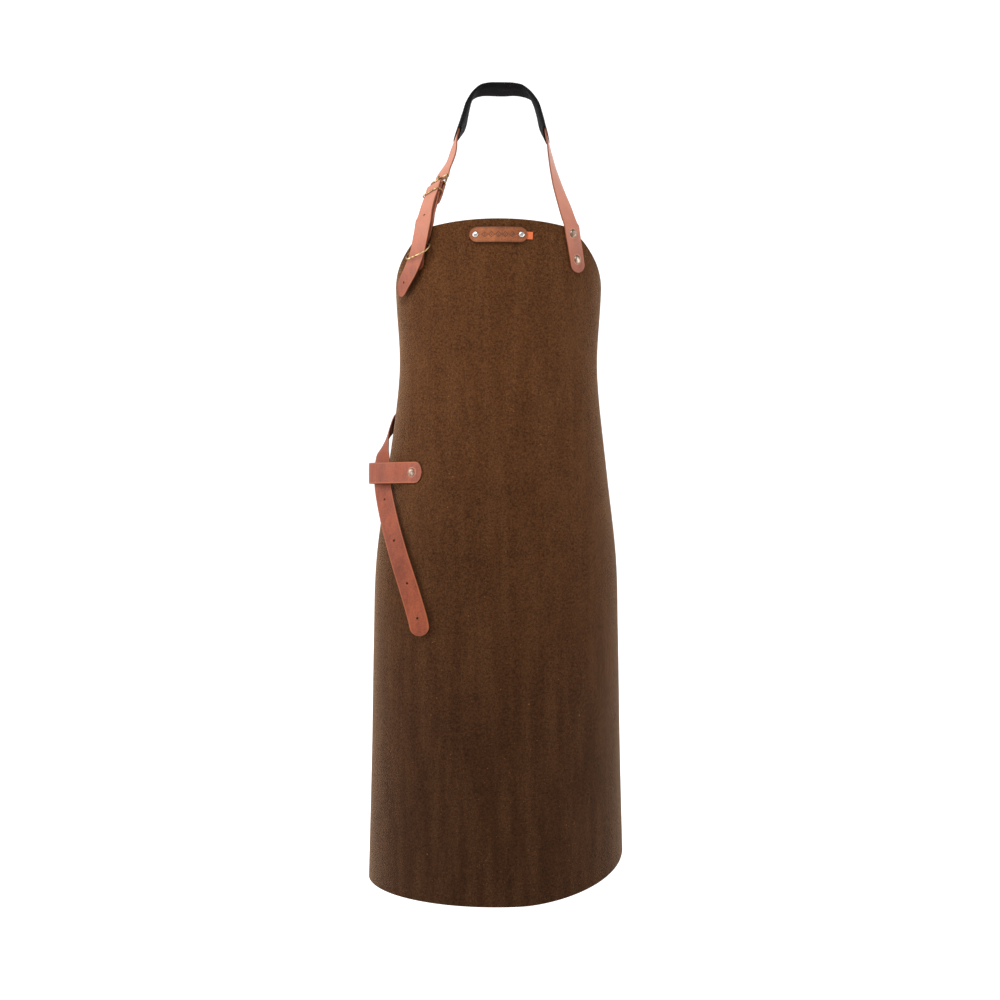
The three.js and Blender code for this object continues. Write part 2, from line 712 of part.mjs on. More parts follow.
addRivet("waist_fold_rivet", waistFoldRivet, 2 * (barRoom + halfStrap - 0.3), labelCapRadius);

const tabH = 367;
const belt = new Route([
  onPanel(beltEnd, beltH, flat),
  onPanel(beltRivets[0], beltH, flat),
  onPanel(beltRivets[1], beltH, flat),
  onPanel(sideHalf, beltH, flat),
  free(148, 58, beltZ, 0.93, 0.36, 0),
  free(130, 77, beltZ - 1, 0.55, 0.83, 0),
  free(92, 88, beltZ - 2, 0.2, 0.98, 0),
  free(45, 92, beltZ - 3, 0.06, 1, 0),
  free(0, 93, beltZ - 3, 0, 1, 0),
  free(-45, 92, beltZ - 2, -0.06, 1, 0),
  ...threadStations(waistBar, waistFold),
  free(-157.5, 48, beltZ, -0.97, 0.2, 0),
  onPanel(-(sideHalf - 8), beltH, tailLift),
  onPanel(-(sideHalf - 35), beltH + 1, tailLift),
  onPanel(-(sideHalf - 58), beltH + 6, tailLift + 1),
  free(-174.5, -58, beltZ - 26, -0.9, -0.42, 0),
  free(-179.5, -86, beltZ - 48, -0.64, -0.77, 0),
  free(-178.5, -109, beltZ - 72, -0.46, -0.89, 0),
  free(-175.5, -130, beltZ - 104, -0.43, -0.9, 0),
  free(-163.6, -158, beltZ - 156, -0.38, -0.92, 0),
  free(-147.9, -178, beltZ - 208, -0.32, -0.95, 0),
  free(-129.5, -193, beltZ - 264, -0.22, -0.97, 0),
  free(-117.6, -200.5, beltZ - 304, -0.22, -0.97, 0),
  free(-113.7, -201.5, beltZ - 324.5, -0.22, -0.97, 0),
]);
const beltSplit = distanceTo(belt, vec(-175, -131, -bibDrop - tabH - 22));
let beltSolid = toSolid(strapGeometry(belt, { to: beltSplit - 0.5 * flexGap, width: beltWidth, tips: [13, 0] }));
let beltTail = toSolid(strapGeometry(belt, { from: beltSplit + 0.5 * flexGap, width: beltWidth, tips: [0, 14] }));
const beltHoles = [26.5, 80.5, 149, 218]; // from the loose tip
for (const back of beltHoles) {
  const distance = belt.length - back;
  if (distance > beltSplit) beltTail = drill(beltTail, belt.at(distance), holeRadius, 4);
  else beltSolid = drill(beltSolid, belt.at(distance), holeRadius, 3);
}
const waistCross = offset(waistBar, 0, 0.5 * (tailUnderRail + tailOverBar), 0.5 * barToRail);
beltSolid = slot(beltSolid, belt.at(distanceTo(belt, waistCross)), 2 * thinWire + 2, 11, 4);

for (const [side, hand] of [
  ["right", 1],
  ["left", -1],
]) {
  for (const [i, s] of beltRivets.entries()) {
    const route = hand > 0 ? belt : waistBuckleStrap;
    const frame = rivetSeat(route, panelFrame(hand * s, beltH, flat).point);
    panel = drill(panel, frame, holeRadius, 9);
    if (hand > 0) beltSolid = drill(beltSolid, frame, holeRadius, 4);
    else waistBuckleSolid = drill(waistBuckleSolid, frame, holeRadius, 4);
    addRivet("waist_" + side + "_rivet_" + (i + 1), frame, grip);
  }
}
addPiece("waist_buckle_strap", toGeometry(waistBuckleSolid), materials.tan);
addPiece("waist_belt", toGeometry(beltSolid), materials.tan);
addPiece("waist_belt_tail", toGeometry(beltTail), materials.tan);

// The loop tab that the belt's loose end runs through
const tabWidth = 32;
const tabZ = -bibDrop - tabH;
const tabRivets = { front: 136, rear: 301 };
const tab = new Route([
  onPanel(-(tabRivets.front - 19), tabH, flat),
  onPanel(-tabRivets.front, tabH, flat),
  onPanel(-(tabRivets.front + 13), tabH, flat + 0.5),
  free(-160, -152, tabZ, -0.6, -0.8, 0),
  free(-184, -131, tabZ, -0.72, -0.69, 0),
  free(-197, -108, tabZ, -0.95, -0.3, 0),
  free(-198, -78, tabZ, -0.98, 0.18, 0),
  free(-187, -50, tabZ, -0.86, 0.5, 0),
  onPanel(-(tabRivets.rear - 12), tabH, flat + 1.2),
  onPanel(-tabRivets.rear, tabH, flat),
  onPanel(-(tabRivets.rear + 17), tabH, flat),
]);
let tabSolid = toSolid(strapGeometry(tab, { width: tabWidth, step: 7, tips: [13, 13] }));
for (const [side, s] of Object.entries(tabRivets)) {
  const frame = rivetSeat(tab, panelFrame(-s, tabH, flat).point);
  panel = drill(panel, frame, holeRadius, 9);
  tabSolid = drill(tabSolid, frame, holeRadius, 4);
  addRivet("tab_" + side + "_rivet", frame, grip);
}
addPiece("waist_loop_tab", toGeometry(tabSolid), materials.tan);
addPiece("apron_panel", toGeometry(panel), materials.panel);

export default apron;
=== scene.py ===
import math
from bisect import bisect_right

import bpy
import numpy as np
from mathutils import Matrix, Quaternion, Vector


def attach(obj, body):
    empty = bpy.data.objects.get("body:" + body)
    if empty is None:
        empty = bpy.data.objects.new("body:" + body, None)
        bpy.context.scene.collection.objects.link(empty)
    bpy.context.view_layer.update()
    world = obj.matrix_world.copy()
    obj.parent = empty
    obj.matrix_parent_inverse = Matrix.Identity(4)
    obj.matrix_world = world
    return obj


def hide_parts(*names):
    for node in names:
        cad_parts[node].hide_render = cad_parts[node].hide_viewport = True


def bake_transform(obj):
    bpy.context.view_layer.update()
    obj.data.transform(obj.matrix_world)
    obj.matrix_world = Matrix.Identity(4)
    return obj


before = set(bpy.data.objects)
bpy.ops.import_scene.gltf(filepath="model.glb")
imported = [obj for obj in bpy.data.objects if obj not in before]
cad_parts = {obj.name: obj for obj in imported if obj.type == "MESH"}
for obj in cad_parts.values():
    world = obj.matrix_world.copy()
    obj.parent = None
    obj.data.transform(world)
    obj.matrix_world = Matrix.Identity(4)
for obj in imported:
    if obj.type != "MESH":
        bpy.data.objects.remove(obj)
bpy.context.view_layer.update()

metre = 0.001  # shapes are worked out in millimetres and stored in metres


# shaders

def colour(red, green, blue):
    parts = [v / 255 for v in (red, green, blue)]
    return tuple(v / 12.92 if v < 0.04045 else ((v + 0.055) / 1.055) ** 2.4 for v in parts) + (1,)


class Field:
    # an output socket that can be used in arithmetic
    def __init__(self, paint, socket):
        self.paint = paint
        self.socket = socket

    def join(self, operation, first, second):
        return self.paint.node("ShaderNodeMath", {"operation": operation}, {0: first, 1: second})

    def __add__(self, other):
        return self.join("ADD", self, other)

    __radd__ = __add__

    def __sub__(self, other):
        return self.join("SUBTRACT", self, other)

    def __rsub__(self, other):
        return self.join("SUBTRACT", other, self)

    def __mul__(self, other):
        return self.join("MULTIPLY", self, other)

    __rmul__ = __mul__

    def sine(self):
        return self.paint.node("ShaderNodeMath", {"operation": "SINE"}, {0: self})

    def between(self, low, high):
        settings = {"interpolation_type": "SMOOTHSTEP"}
        return self.paint.node("ShaderNodeMapRange", settings, {0: self, 1: low, 2: high})


class Paint:
    def __init__(self, name):
        self.material = bpy.data.materials.new(name)
        self.material.use_nodes = True
        self.nodes = self.material.node_tree.nodes
        self.links = self.material.node_tree.links
        self.nodes.clear()

    def node(self, kind, settings=None, inputs=None, out=0):
        made = self.nodes.new(kind)
        for key, value in (settings or {}).items():
            setattr(made, key, value)
        for key, value in (inputs or {}).items():
            if isinstance(value, Field):
                self.links.new(value.socket, made.inputs[key])
            else:
                made.inputs[key].default_value = value
        return Field(self, made.outputs[out])

    def place(self):
        return self.node("ShaderNodeTexCoord", out=3)

    def stretched(self, x, y, z):
        return self.node("ShaderNodeMapping", None, {0: self.place(), 3: (x, y, z)})

    def noise(self, scale, detail=3, where=None, roughness=0.55):
        settings = {"noise_dimensions": "3D"}
        return self.node("ShaderNodeTexNoise", settings, {
            "Vector": where or self.place(), "Scale": scale, "Detail": detail, "Roughness": roughness})

    def cells(self, scale):
        return self.node("ShaderNodeTexVoronoi", {"feature": "F1"}, {"Vector": self.place(), "Scale": scale})

    def measure(self, name):
        return self.node("ShaderNodeAttribute", {"attribute_name": name}, out=2)

    def blend(self, share, low, high):
        settings = {"data_type": "RGBA", "blend_type": "MIX"}
        return self.node("ShaderNodeMix", settings, {0: share, 6: low, 7: high}, out=2)

    def relief(self, height, distance, strength=1.0):
        values = {"Strength": strength, "Distance": distance, "Height": height}
        return self.node("ShaderNodeBump", None, values)

    def finish(self, inputs):
        surface = self.node("ShaderNodeBsdfPrincipled", None, inputs)
        output = self.nodes.new("ShaderNodeOutputMaterial")
        self.links.new(surface.socket, output.inputs[0])
        return self.material


nubuck = {
    "deep": colour(26, 9, 1),
    "brown": colour(102, 62, 31),
    # painted shade: the colour mixed in towards the bottom of the panel
    "low": colour(20, 7, 1),
    "rubbed": colour(132, 92, 58),
    "fleck": colour(190, 128, 74),
    "cutEdge": colour(120, 86, 60),
    "grain": 330,
}


def paintNubuck():
    p = Paint("nubuck")
    broad = p.noise(5, 4).between(0.3, 0.7)
    cloud = p.noise(30, 4).between(0.25, 0.75)
    grain = p.noise(nubuck["grain"], 4, roughness=0.75).between(0.34, 0.66)
    fine = p.noise(nubuck["grain"] * 2.3, 3, roughness=0.7).between(0.34, 0.66)
    height = p.node("ShaderNodeSeparateXYZ", None, {0: p.place()}, out=2)
    # painted shade: darker towards the bottom, the falloff of the light from above painted into the colour
    lower = (height * -1.0).between(0.42, 1.2)
    brushed = p.noise(60, 3, p.stretched(1, 1, 0.12)).between(0.35, 0.7)
    tone = p.blend(grain * 0.5 + fine * 0.34 + cloud * 0.1 + broad * 0.08, nubuck["deep"], nubuck["brown"])
    tone = p.blend(lower * 0.6, tone, nubuck["low"])
    tone = p.blend(brushed * fine * 0.16, tone, nubuck["rubbed"])
    flecks = p.noise(420, 1).between(0.72, 0.78) * p.noise(60, 2).between(0.45, 0.62)
    tone = p.blend(flecks * 0.4, tone, nubuck["fleck"])
    tone = p.blend(p.measure("rim") * 0.85, tone, nubuck["cutEdge"])
    return p.finish({
        "Base Color": tone,
        "Roughness": 0.88 - grain * 0.1,
        "Specular IOR Level": 0.1,
        "Sheen Weight": 0.62,
        "Sheen Roughness": 0.22,
        "Sheen Tint": colour(240, 196, 156),
        "Normal": p.relief(grain * 0.8 + fine * 0.4 + cloud * 0.2, 0.0005, 0.7),
    })


def paintHide(name, look):
    p = Paint(name)
    broad = p.noise(16, 3).between(0.3, 0.7)
    fine = p.noise(430, 4, roughness=0.7).between(0.3, 0.7)
    pores = p.cells(700)
    streak = p.noise(80, 3, p.stretched(1, 1, 0.25)).between(0.3, 0.7)
    tone = p.blend(broad * 0.3 + fine * 0.42 + streak * 0.28, look["dark"], look["light"])
    tone = p.blend((1 - pores.between(0.1, 0.4)) * 0.3, tone, look["pore"])
    height = p.node("ShaderNodeSeparateXYZ", None, {0: p.place()}, out=2)
    tone = p.blend(height.between(*look["paintedLightSpan"]) * 0.5, tone, look["pale"])  # painted light: paler higher up, the brighter lighting on the neck straps painted into the colour
    tone = p.blend(p.measure("edge").between(0.82, 0.96) * 0.6, tone, look["edge"])
    tone = p.blend(p.measure("side"), tone, look["raw"])
    tone = p.blend(p.measure("press") * 0.8, tone, look["pressed"])
    tone = p.blend(p.measure("groove") * 0.85, tone, look["burnt"])
    return p.finish({
        "Base Color": tone,
        "Roughness": 0.52 + fine * 0.14 - p.measure("edge") * 0.05,
        "Specular IOR Level": 0.4,
        "Normal": p.relief(fine * 0.5 + pores * 0.4 - p.measure("press") * 0.6, 0.0003, 0.5),
    })


def paintWeave():
    p = Paint("blackWeave")
    along = p.measure("runAlong")
    across = p.measure("runAcross")
    threads = (along * 4200.0).sine() * (across * 4200.0).sine()
    lint = p.noise(900, 1).between(0.72, 0.78)
    tone = p.blend(p.noise(40, 3) * 0.8, colour(5, 4, 3), colour(15, 12, 12))
    tone = p.blend(threads.between(-0.2, 0.9) * 0.3, tone, colour(27, 24, 25))
    tone = p.blend(lint * 0.5, tone, colour(150, 120, 92))
    return p.finish({
        "Base Color": tone,
        "Roughness": 0.9 - threads * 0.05,
        "Specular IOR Level": 0.14,
        "Sheen Weight": 0.06,
        "Sheen Roughness": 0.35,
        "Sheen Tint": colour(160, 160, 180),
        "Normal": p.relief(threads + p.noise(1400, 2) * 0.6, 0.00025, 0.7),
    })


def paintTag():
    p = Paint("orangeRibbon")
    threads = (p.measure("runAlong") * 9000.0).sine() * (p.measure("runAcross") * 6000.0).sine()
    tone = p.blend(p.noise(300, 3), colour(198, 84, 34), colour(232, 116, 56))
    tone = p.blend(p.measure("edge").between(0.8, 0.95) * 0.4, tone, colour(150, 60, 24))
    return p.finish({
        "Base Color": tone,
        "Roughness": 0.8 + threads * 0.05,
        "Sheen Weight": 0.3,
        "Normal": p.relief(threads, 0.00015, 0.6),
    })


def paintMetal(name, look):
    p = Paint(name)
    wear = p.noise(180, 3).between(0.35, 0.7)
    fine = p.noise(900, 2)
    tone = p.blend(wear, look["dull"], look["bright"])
    return p.finish({
        "Base Color": tone,
        "Metallic": 1.0,
        "Roughness": look["rough"] - wear * 0.1 + fine * 0.1,
        "Normal": p.relief(fine * 0.3 + wear * 0.5, 0.00005, 0.2),
    })


tanHide = {
    "dark": colour(88, 28, 8),
    "light": colour(160, 78, 44),
    "pore": colour(88, 34, 14),
    "edge": colour(172, 92, 48),
    "raw": colour(96, 44, 18),
    "pressed": colour(206, 146, 120),
    "burnt": colour(80, 40, 24),
    # painted light: the paler colour and the heights over which it is mixed in, higher up
    "pale": colour(226, 160, 136),
    "paintedLightSpan": (-0.37, -0.19),
}
labelHide = {
    "dark": colour(92, 40, 12),
    "light": colour(172, 98, 50),
    "pore": colour(80, 36, 12),
    "edge": colour(84, 38, 14),
    "raw": colour(70, 36, 18),
    "pressed": colour(120, 70, 42),
    "burnt": colour(56, 28, 14),
    # painted light: the paler colour and the heights over which it is mixed in, higher up
    "pale": colour(190, 120, 76),
    "paintedLightSpan": (-0.2, -0.1),
}
agedNickel = {"dull": colour(118, 98, 84), "bright": colour(190, 170, 152), "rough": 0.42}
silver = {"dull": colour(206, 200, 194), "bright": colour(246, 244, 240), "rough": 0.24}
oldBrass = {"dull": colour(124, 96, 60), "bright": colour(216, 186, 136), "rough": 0.32}
paints = {
    "nubuck": paintNubuck(),
    "tan": paintHide("tanHide", tanHide),
    "label": paintHide("labelHide", labelHide),
    "weave": paintWeave(),
    "tag": paintTag(),
    "nickel": paintMetal("agedNickel", agedNickel),
    "silver": paintMetal("silver", silver),
    "brass": paintMetal("oldBrass", oldBrass),
}
print("finishes mixed")


# places and directions

def vec(x, y, z):
    return Vector((x, y, z))


def ease(x, low, high):
    t = min(max((x - low) / (high - low), 0), 1)
    return t * t * (3 - 2 * t)


class Place:
    # side is the width, face points out, along is the length
    def __init__(self, point, along, face):
        self.point = point.copy()
        self.along = along.normalized()
        self.face = (face - self.along * face.dot(self.along)).normalized()
        self.side = self.face.cross(self.along)

    def off(self, side, face, along):
        return self.point + self.side * side + self.face * face + self.along * along

    def moved(self, side, face, along):
        return Place(self.off(side, face, along), self.along, self.face)


class Line:
    # a smooth curve through points, its steps weighted by their spacing
    def __init__(self, points, closed=False):
        self.points = points
        self.closed = closed
        self.last = len(points) - (0 if closed else 1)

    def at(self, t):
        p = self.points
        step = min(max(t, 0) * self.last, self.last - 1e-9)
        i = int(step)
        w = step - i
        n = len(p)
        b, c = p[i % n], p[(i + 1) % n]
        a = p[i - 1] if i or self.closed else b * 2 - c
        d = p[(i + 2) % n] if i + 2 <= self.last or self.closed else c * 2 - b
        spans = [math.sqrt((q - r).length) for q, r in ((b, a), (c, b), (d, c))]
        middle = spans[1] if spans[1] > 1e-4 else 1
        before = spans[0] if spans[0] > 1e-4 else middle
        after = spans[2] if spans[2] > 1e-4 else middle
        leave = ((b - a) / before - (c - a) / (before + middle) + (c - b) / middle) * middle
        arrive = ((c - b) / middle - (d - b) / (middle + after) + (d - c) / after) * middle
        square = c * 3 - b * 3 - leave * 2 - arrive
        cube = b * 2 - c * 2 + leave + arrive
        return b + leave * w + square * (w * w) + cube * (w * w * w)


class Route:
    def __init__(self, stations):
        self.line = Line([s[0] for s in stations])
        self.faces = [s[1].normalized() for s in stations]
        self.parts = 400
        marks = [self.line.at(i / self.parts) for i in range(self.parts + 1)]
        self.run = [0.0]
        for a, b in zip(marks, marks[1:]):
            self.run.append(self.run[-1] + (b - a).length)
        self.length = self.run[-1]

    def at(self, distance):
        i = min(max(bisect_right(self.run, distance) - 1, 0), self.parts - 1)
        share = (distance - self.run[i]) / (self.run[i + 1] - self.run[i])
        t = min(max((i + share) / self.parts, 0), 1)
        step = t * (len(self.faces) - 1)
        k = min(int(step), len(self.faces) - 2)
        face = self.faces[k].lerp(self.faces[k + 1], step - k)
        ahead = self.line.at(min(t + 1e-4, 1)) - self.line.at(max(t - 1e-4, 0))
        return Place(self.line.at(t), ahead, face)

    def nearest(self, point):
        marks = [0.5 * i for i in range(int(self.length * 2) + 1)]
        return min(marks, key=lambda d: (self.at(d).point - point).length)


def free(x, y, z, a, b, c):
    return (vec(x, y, z), vec(a, b, c))


# the hanging panel's surface

panelSize = {
    "length": 1000,
    "width": 700,
    "bibWidth": 256,
    "bibArch": 9,
    "armhole": 250,
    "leather": 2.2,
    "bibDrop": 251,
    "frontReach": 220,
    "chest": (158, 125),
    "waist": (151, 125),
    "hip": (190, 160),
    "hem": (200, 185),
    "hemSway": 4,
    "hemRise": 62,
    "hemRiseFrom": 40,
    "hemRadius": 26,
    "sideLean": 0.04,
}
chest, waist, hip, hem = (panelSize[k] for k in ("chest", "waist", "hip", "hem"))
panelLength = panelSize["length"]
armholeDepth = panelSize["armhole"]
stations = Line([vec(a, b, share * panelLength) for share, a, b in (
    (0, chest[0], chest[1]),
    (0.09, chest[0] - 1, chest[1]),
    (0.19, waist[0], waist[1]),
    (0.24, waist[0] + 2, waist[1]),
    (0.37, (waist[0] + hip[0]) / 2 - 1, (waist[1] + hip[1]) / 2),
    (0.5, hip[0] - 4, hip[1] - 6),
    (0.62, hip[0], hip[1]),
    (0.8, (hip[0] + hem[0]) / 2 - 1, (hip[1] + hem[1]) / 2),
    (1, hem[0], hem[1]),
)])


def sectionTable(h):
    low, high = 0.0, 1.0
    for _ in range(30):
        middle = (low + high) / 2
        if stations.at(middle).z < min(max(h, 0), panelLength):
            low = middle
        else:
            high = middle
    a, b, _ = stations.at((low + high) / 2)
    table = [(0.0, 0.0, 0.0)]
    for i in range(1, 49):
        turn = math.pi / 2 * i / 48
        x, y = a * math.sin(turn), b * (1 - math.cos(turn))
        table.append((table[-1][0] + math.hypot(x - table[-1][1], y - table[-1][2]), x, y))
    return table


tableStep = 10
sections = [sectionTable(h) for h in range(-tableStep, panelLength + tableStep + 1, tableStep)]


def sectionPoint(table, s):
    if s >= table[-1][0]:
        run = s - table[-1][0]
        return table[-1][1] - panelSize["sideLean"] * run, table[-1][2] + run
    i = max(bisect_right(table, (s,)), 1)
    first, second = table[i - 1], table[i]
    share = (s - first[0]) / (second[0] - first[0])
    return first[1] + share * (second[1] - first[1]), first[2] + share * (second[2] - first[2])


def surfacePoint(s, h):
    row = min(max((h + tableStep) / tableStep, 0), len(sections) - 1.001)
    i = int(row)
    upper, lower = sectionPoint(sections[i], abs(s)), sectionPoint(sections[i + 1], abs(s))
    x = upper[0] + (lower[0] - upper[0]) * (row - i)
    y = upper[1] + (lower[1] - upper[1]) * (row - i)
    sway = panelSize["hemSway"] * ease(h, 0.15 * panelLength, 0.6 * panelLength)
    return vec(math.copysign(x, s) - sway, y - panelSize["frontReach"], -panelSize["bibDrop"] - h)


def onSurface(s, h, lift=0.0, turn=0.0):
    reach = 6
    acrossWay = (surfacePoint(s + reach, h) - surfacePoint(s - reach, h)).normalized()
    up = (surfacePoint(s, h - reach) - surfacePoint(s, h + reach)).normalized()
    face = acrossWay.cross(up)
    made = Place(surfacePoint(s, h), Quaternion(face, turn) @ up, face)
    made.point += made.face * lift
    return made


def onPanel(s, h, lift):
    made = onSurface(s, h, lift)
    return (made.point, made.face)


sideHalf = panelSize["width"] / 2
bibHalf = panelSize["bibWidth"] / 2


def armholePoint(t):
    gap = sideHalf - bibHalf
    arch = panelSize["bibArch"]
    p = [(bibHalf - 9, arch - 1.5), (bibHalf, arch + 7), (bibHalf + 0.1 * gap, 0.125 * armholeDepth),
         (bibHalf + 0.32 * gap, 0.28 * armholeDepth), (bibHalf + 0.64 * gap, 0.56 * armholeDepth),
         (sideHalf, armholeDepth)]
    step = min(t * (len(p) - 1), len(p) - 1 - 1e-9)
    i = int(step)
    w = step - i
    a, b, c, d = p[max(i - 1, 0)], p[i], p[i + 1], p[min(i + 2, len(p) - 1)]
    found = []
    for k in (0, 1):
        leave, arrive = (c[k] - a[k]) / 2, (d[k] - b[k]) / 2
        found.append(b[k] + leave * w + (3 * c[k] - 3 * b[k] - 2 * leave - arrive) * w ** 2
                     + (2 * b[k] - 2 * c[k] + leave + arrive) * w ** 3)
    return found


# meshes

def addMesh(name, points, faces, paint, measures=None, sharp=50):
    mesh = bpy.data.meshes.new(name)
    mesh.from_pydata([tuple(p * metre) for p in points], [], faces)
    for key, values in (measures or {}).items():
        mesh.attributes.new(key, "FLOAT", "POINT").data.foreach_set("value", values)
    mesh.materials.append(paints[paint])
    mesh.shade_smooth()
    mesh.set_sharp_from_angle(angle=math.radians(sharp))
    obj = bpy.data.objects.new(name, mesh)
    bpy.context.scene.collection.objects.link(obj)
    return obj


def gridFaces(rowsCount, ringCount):
    faces = []
    for i in range(rowsCount - 1):
        for k in range(ringCount):
            n = (k + 1) % ringCount
            here, ahead = i * ringCount, (i + 1) * ringCount
            faces.append((here + k, here + n, ahead + n, ahead + k))
    return faces


def tube(name, points, radius, paint, closed=True, rings=10):
    line = Line(points, closed)
    count = len(points) * 4
    total = count if closed else count + 1
    curve = bpy.data.curves.new(name, "CURVE")
    curve.dimensions = "3D"
    spline = curve.splines.new("POLY")
    spline.points.add(total - 1)
    for i in range(total):
        p = line.at(i / count) * metre
        spline.points[i].co = (p.x, p.y, p.z, 1)
    spline.use_cyclic_u = closed
    curve.bevel_depth = radius * metre
    curve.bevel_resolution = rings // 2 - 1
    curve.use_fill_caps = not closed
    maker = bpy.data.objects.new(name + "Line", curve)
    bpy.context.scene.collection.objects.link(maker)
    bpy.context.view_layer.update()
    mesh = bpy.data.meshes.new_from_object(maker.evaluated_get(bpy.context.evaluated_depsgraph_get()))
    bpy.data.objects.remove(maker)
    bpy.data.curves.remove(curve)
    mesh.name = name
    mesh.materials.clear()
    mesh.materials.append(paints[paint])
    mesh.shade_smooth()
    obj = bpy.data.objects.new(name, mesh)
    bpy.context.scene.collection.objects.link(obj)
    return obj


def joined(name, *objects):
    # one mesh from several
    points, faces = [], []
    paint = objects[0].data.materials[0]
    for obj in objects:
        base = len(points)
        points += [v.co.copy() for v in obj.data.vertices]
        faces += [tuple(base + i for i in f.vertices) for f in obj.data.polygons]
        bpy.data.objects.remove(obj)
    mesh = bpy.data.meshes.new(name)
    mesh.from_pydata(points, [], faces)
    mesh.materials.append(paint)
    mesh.shade_smooth()
    obj = bpy.data.objects.new(name, mesh)
    bpy.context.scene.collection.objects.link(obj)
    return obj


def standFor(obj, body, slotName, *nodes):
    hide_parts(*nodes)
    if body:
        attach(obj, body)
    return obj


strapLook = {
    "thick": 2.2,
    "corner": 0.75,
    "crown": 0.12,
    "faceSteps": 22,
    "step": 1.6,
    "grooveDepth": 0.35,
    "markReach": 16,  # how near a rivet has to be to press into the strap
    "markLevel": 1.2,  # and how near its face
}
rivetSpots = []  # point, face and radius of every rivet, for the marks pressed round them


def sectionRing(half, thick, count):
    # the strap's outline at one place as (side, face, edge share, on the cut side)
    corner = min(strapLook["corner"], 0.45 * thick, 0.8 * half)
    ring = []
    for sign in (1, -1):
        for i in range(count + 1):
            side = -sign * (half - corner) + sign * 2 * (half - corner) * i / count
            share = abs(side) / half
            ring.append((side, sign * (thick / 2 + strapLook["crown"] * (1 - share * share)
                         - strapLook["crown"]), share, 0.0))
        for turn in (0.5, 1.1, math.pi / 2, math.pi - 1.1, math.pi - 0.5):
            lift = thick / 2 - corner if turn < math.pi / 2 - 0.01 else corner - thick / 2
            lift = 0 if abs(turn - math.pi / 2) < 0.01 else lift
            ring.append((sign * (half - corner + corner * math.sin(turn)),
                         sign * (lift + (corner * math.cos(turn) if lift else 0)), 1.0,
                         1.0 if 1 < turn < 2.1 else 0.6))
    return ring


def strapMesh(name, route, width, paint, start=0.0, end=None, tips=(0, 0), thick=None,
              step=None, groove=None, faceSteps=None):
    end = route.length if end is None else end
    faceSteps = faceSteps or strapLook["faceSteps"]
    thick = thick or strapLook["thick"]
    step = step or strapLook["step"]
    marks = []
    for share in (0, 0.02, 0.06, 0.13, 0.24, 0.38, 0.55, 0.76):
        marks += [start + share * tips[0]] if tips[0] else []
        marks += [end - share * tips[1]] if tips[1] else []
    straight = end - start - tips[0] - tips[1]
    count = max(1, round(straight / step))
    marks += [start + tips[0] + straight * i / count for i in range(count + 1)]
    marks = sorted(marks)
    marks = [m for i, m in enumerate(marks) if not i or m - marks[i - 1] > 0.03]
    points, edge, side, press, along, across, cut = [], [], [], [], [], [], []
    for mark in marks:
        place = route.at(mark)
        half = width / 2
        for tip, away in ((tips[0], mark - start), (tips[1], end - mark)):
            if tip and away < tip:
                rest = 1 - away / tip
                half = min(half, max(0.09 * width / 2, width / 2 * math.sqrt(max(1 - rest * rest, 0))))
        for s, f, share, raw in sectionRing(half, thick, faceSteps):
            point = place.off(s, f, 0)
            points.append(point)
            nearEnd = max(0.0, 1 - (mark - start) / 3) if tips[0] else 0.0
            nearEnd = max(nearEnd, 1 - (end - mark) / 3 if tips[1] else 0.0)
            edge.append(max(share, nearEnd))
            side.append(raw * 0.8)
            along.append(mark * metre)
            across.append(s * metre)
            near = [(point - spot).length - radius for spot, face, radius in rivetSpots
                    if (point - spot).length < strapLook["markReach"]
                    and abs((point - spot).dot(face)) < strapLook["markLevel"]]
            press.append(max([max(0.0, 1 - abs(d - 0.9) / 1.2) for d in near], default=0.0) * (f > 0))
            cut.append(groove(mark, s) if groove and f > 0 else 0.0)
    ringCount = len(sectionRing(1, 1, faceSteps))
    rowsCount = len(marks)
    faces = gridFaces(rowsCount, ringCount)
    faces.append(tuple(range(ringCount - 1, -1, -1)))
    faces.append(tuple((rowsCount - 1) * ringCount + k for k in range(ringCount)))
    if groove:
        for i, depth in enumerate(cut):
            if depth:
                place = route.at(marks[i // ringCount])
                points[i] = points[i] - place.face * strapLook["grooveDepth"] * depth
    measures = {"edge": edge, "side": side, "press": press, "groove": cut,
                "runAlong": along, "runAcross": across}
    obj = addMesh(name, points, faces, paint, measures)
    if solidVolume(obj.data) < 0:
        obj.data.flip_normals()
    return obj


def punch(obj, places, radius=1.9, reach=5.0):
    # round holes through a strap
    for i, place in enumerate(places):
        points, faces = [], []
        for end in (-reach, reach):
            for k in range(20):
                turn = 2 * math.pi * k / 20
                points.append(place.off(radius * math.cos(turn), end, radius * math.sin(turn)))
        faces = [(k, (k + 1) % 20, 20 + (k + 1) % 20, 20 + k) for k in range(20)]
        faces += [tuple(range(19, -1, -1)), tuple(range(20, 40))]
        tool = addMesh("punchTool", points, faces, "tan")
        if solidVolume(tool.data) < 0:
            tool.data.flip_normals()
        cutter = obj.modifiers.new("hole", "BOOLEAN")
        cutter.operation = "DIFFERENCE"
        cutter.solver = "EXACT"
        cutter.object = tool
        bpy.context.view_layer.update()
        graph = bpy.context.evaluated_depsgraph_get()
        mesh = bpy.data.meshes.new_from_object(obj.evaluated_get(graph), depsgraph=graph)
        obj.modifiers.clear()
        obj.data = mesh
        bpy.data.objects.remove(tool)
    obj.data.shade_smooth()
    obj.data.set_sharp_from_angle(angle=math.radians(50))
    return obj


def solidVolume(mesh):
    total = 0.0
    for f in mesh.polygons:
        a = mesh.vertices[f.vertices[0]].co
        for k in range(1, len(f.vertices) - 1):
            total += a.dot(mesh.vertices[f.vertices[k]].co.cross(mesh.vertices[f.vertices[k + 1]].co))
    return total / 6


# sizes that the pieces share

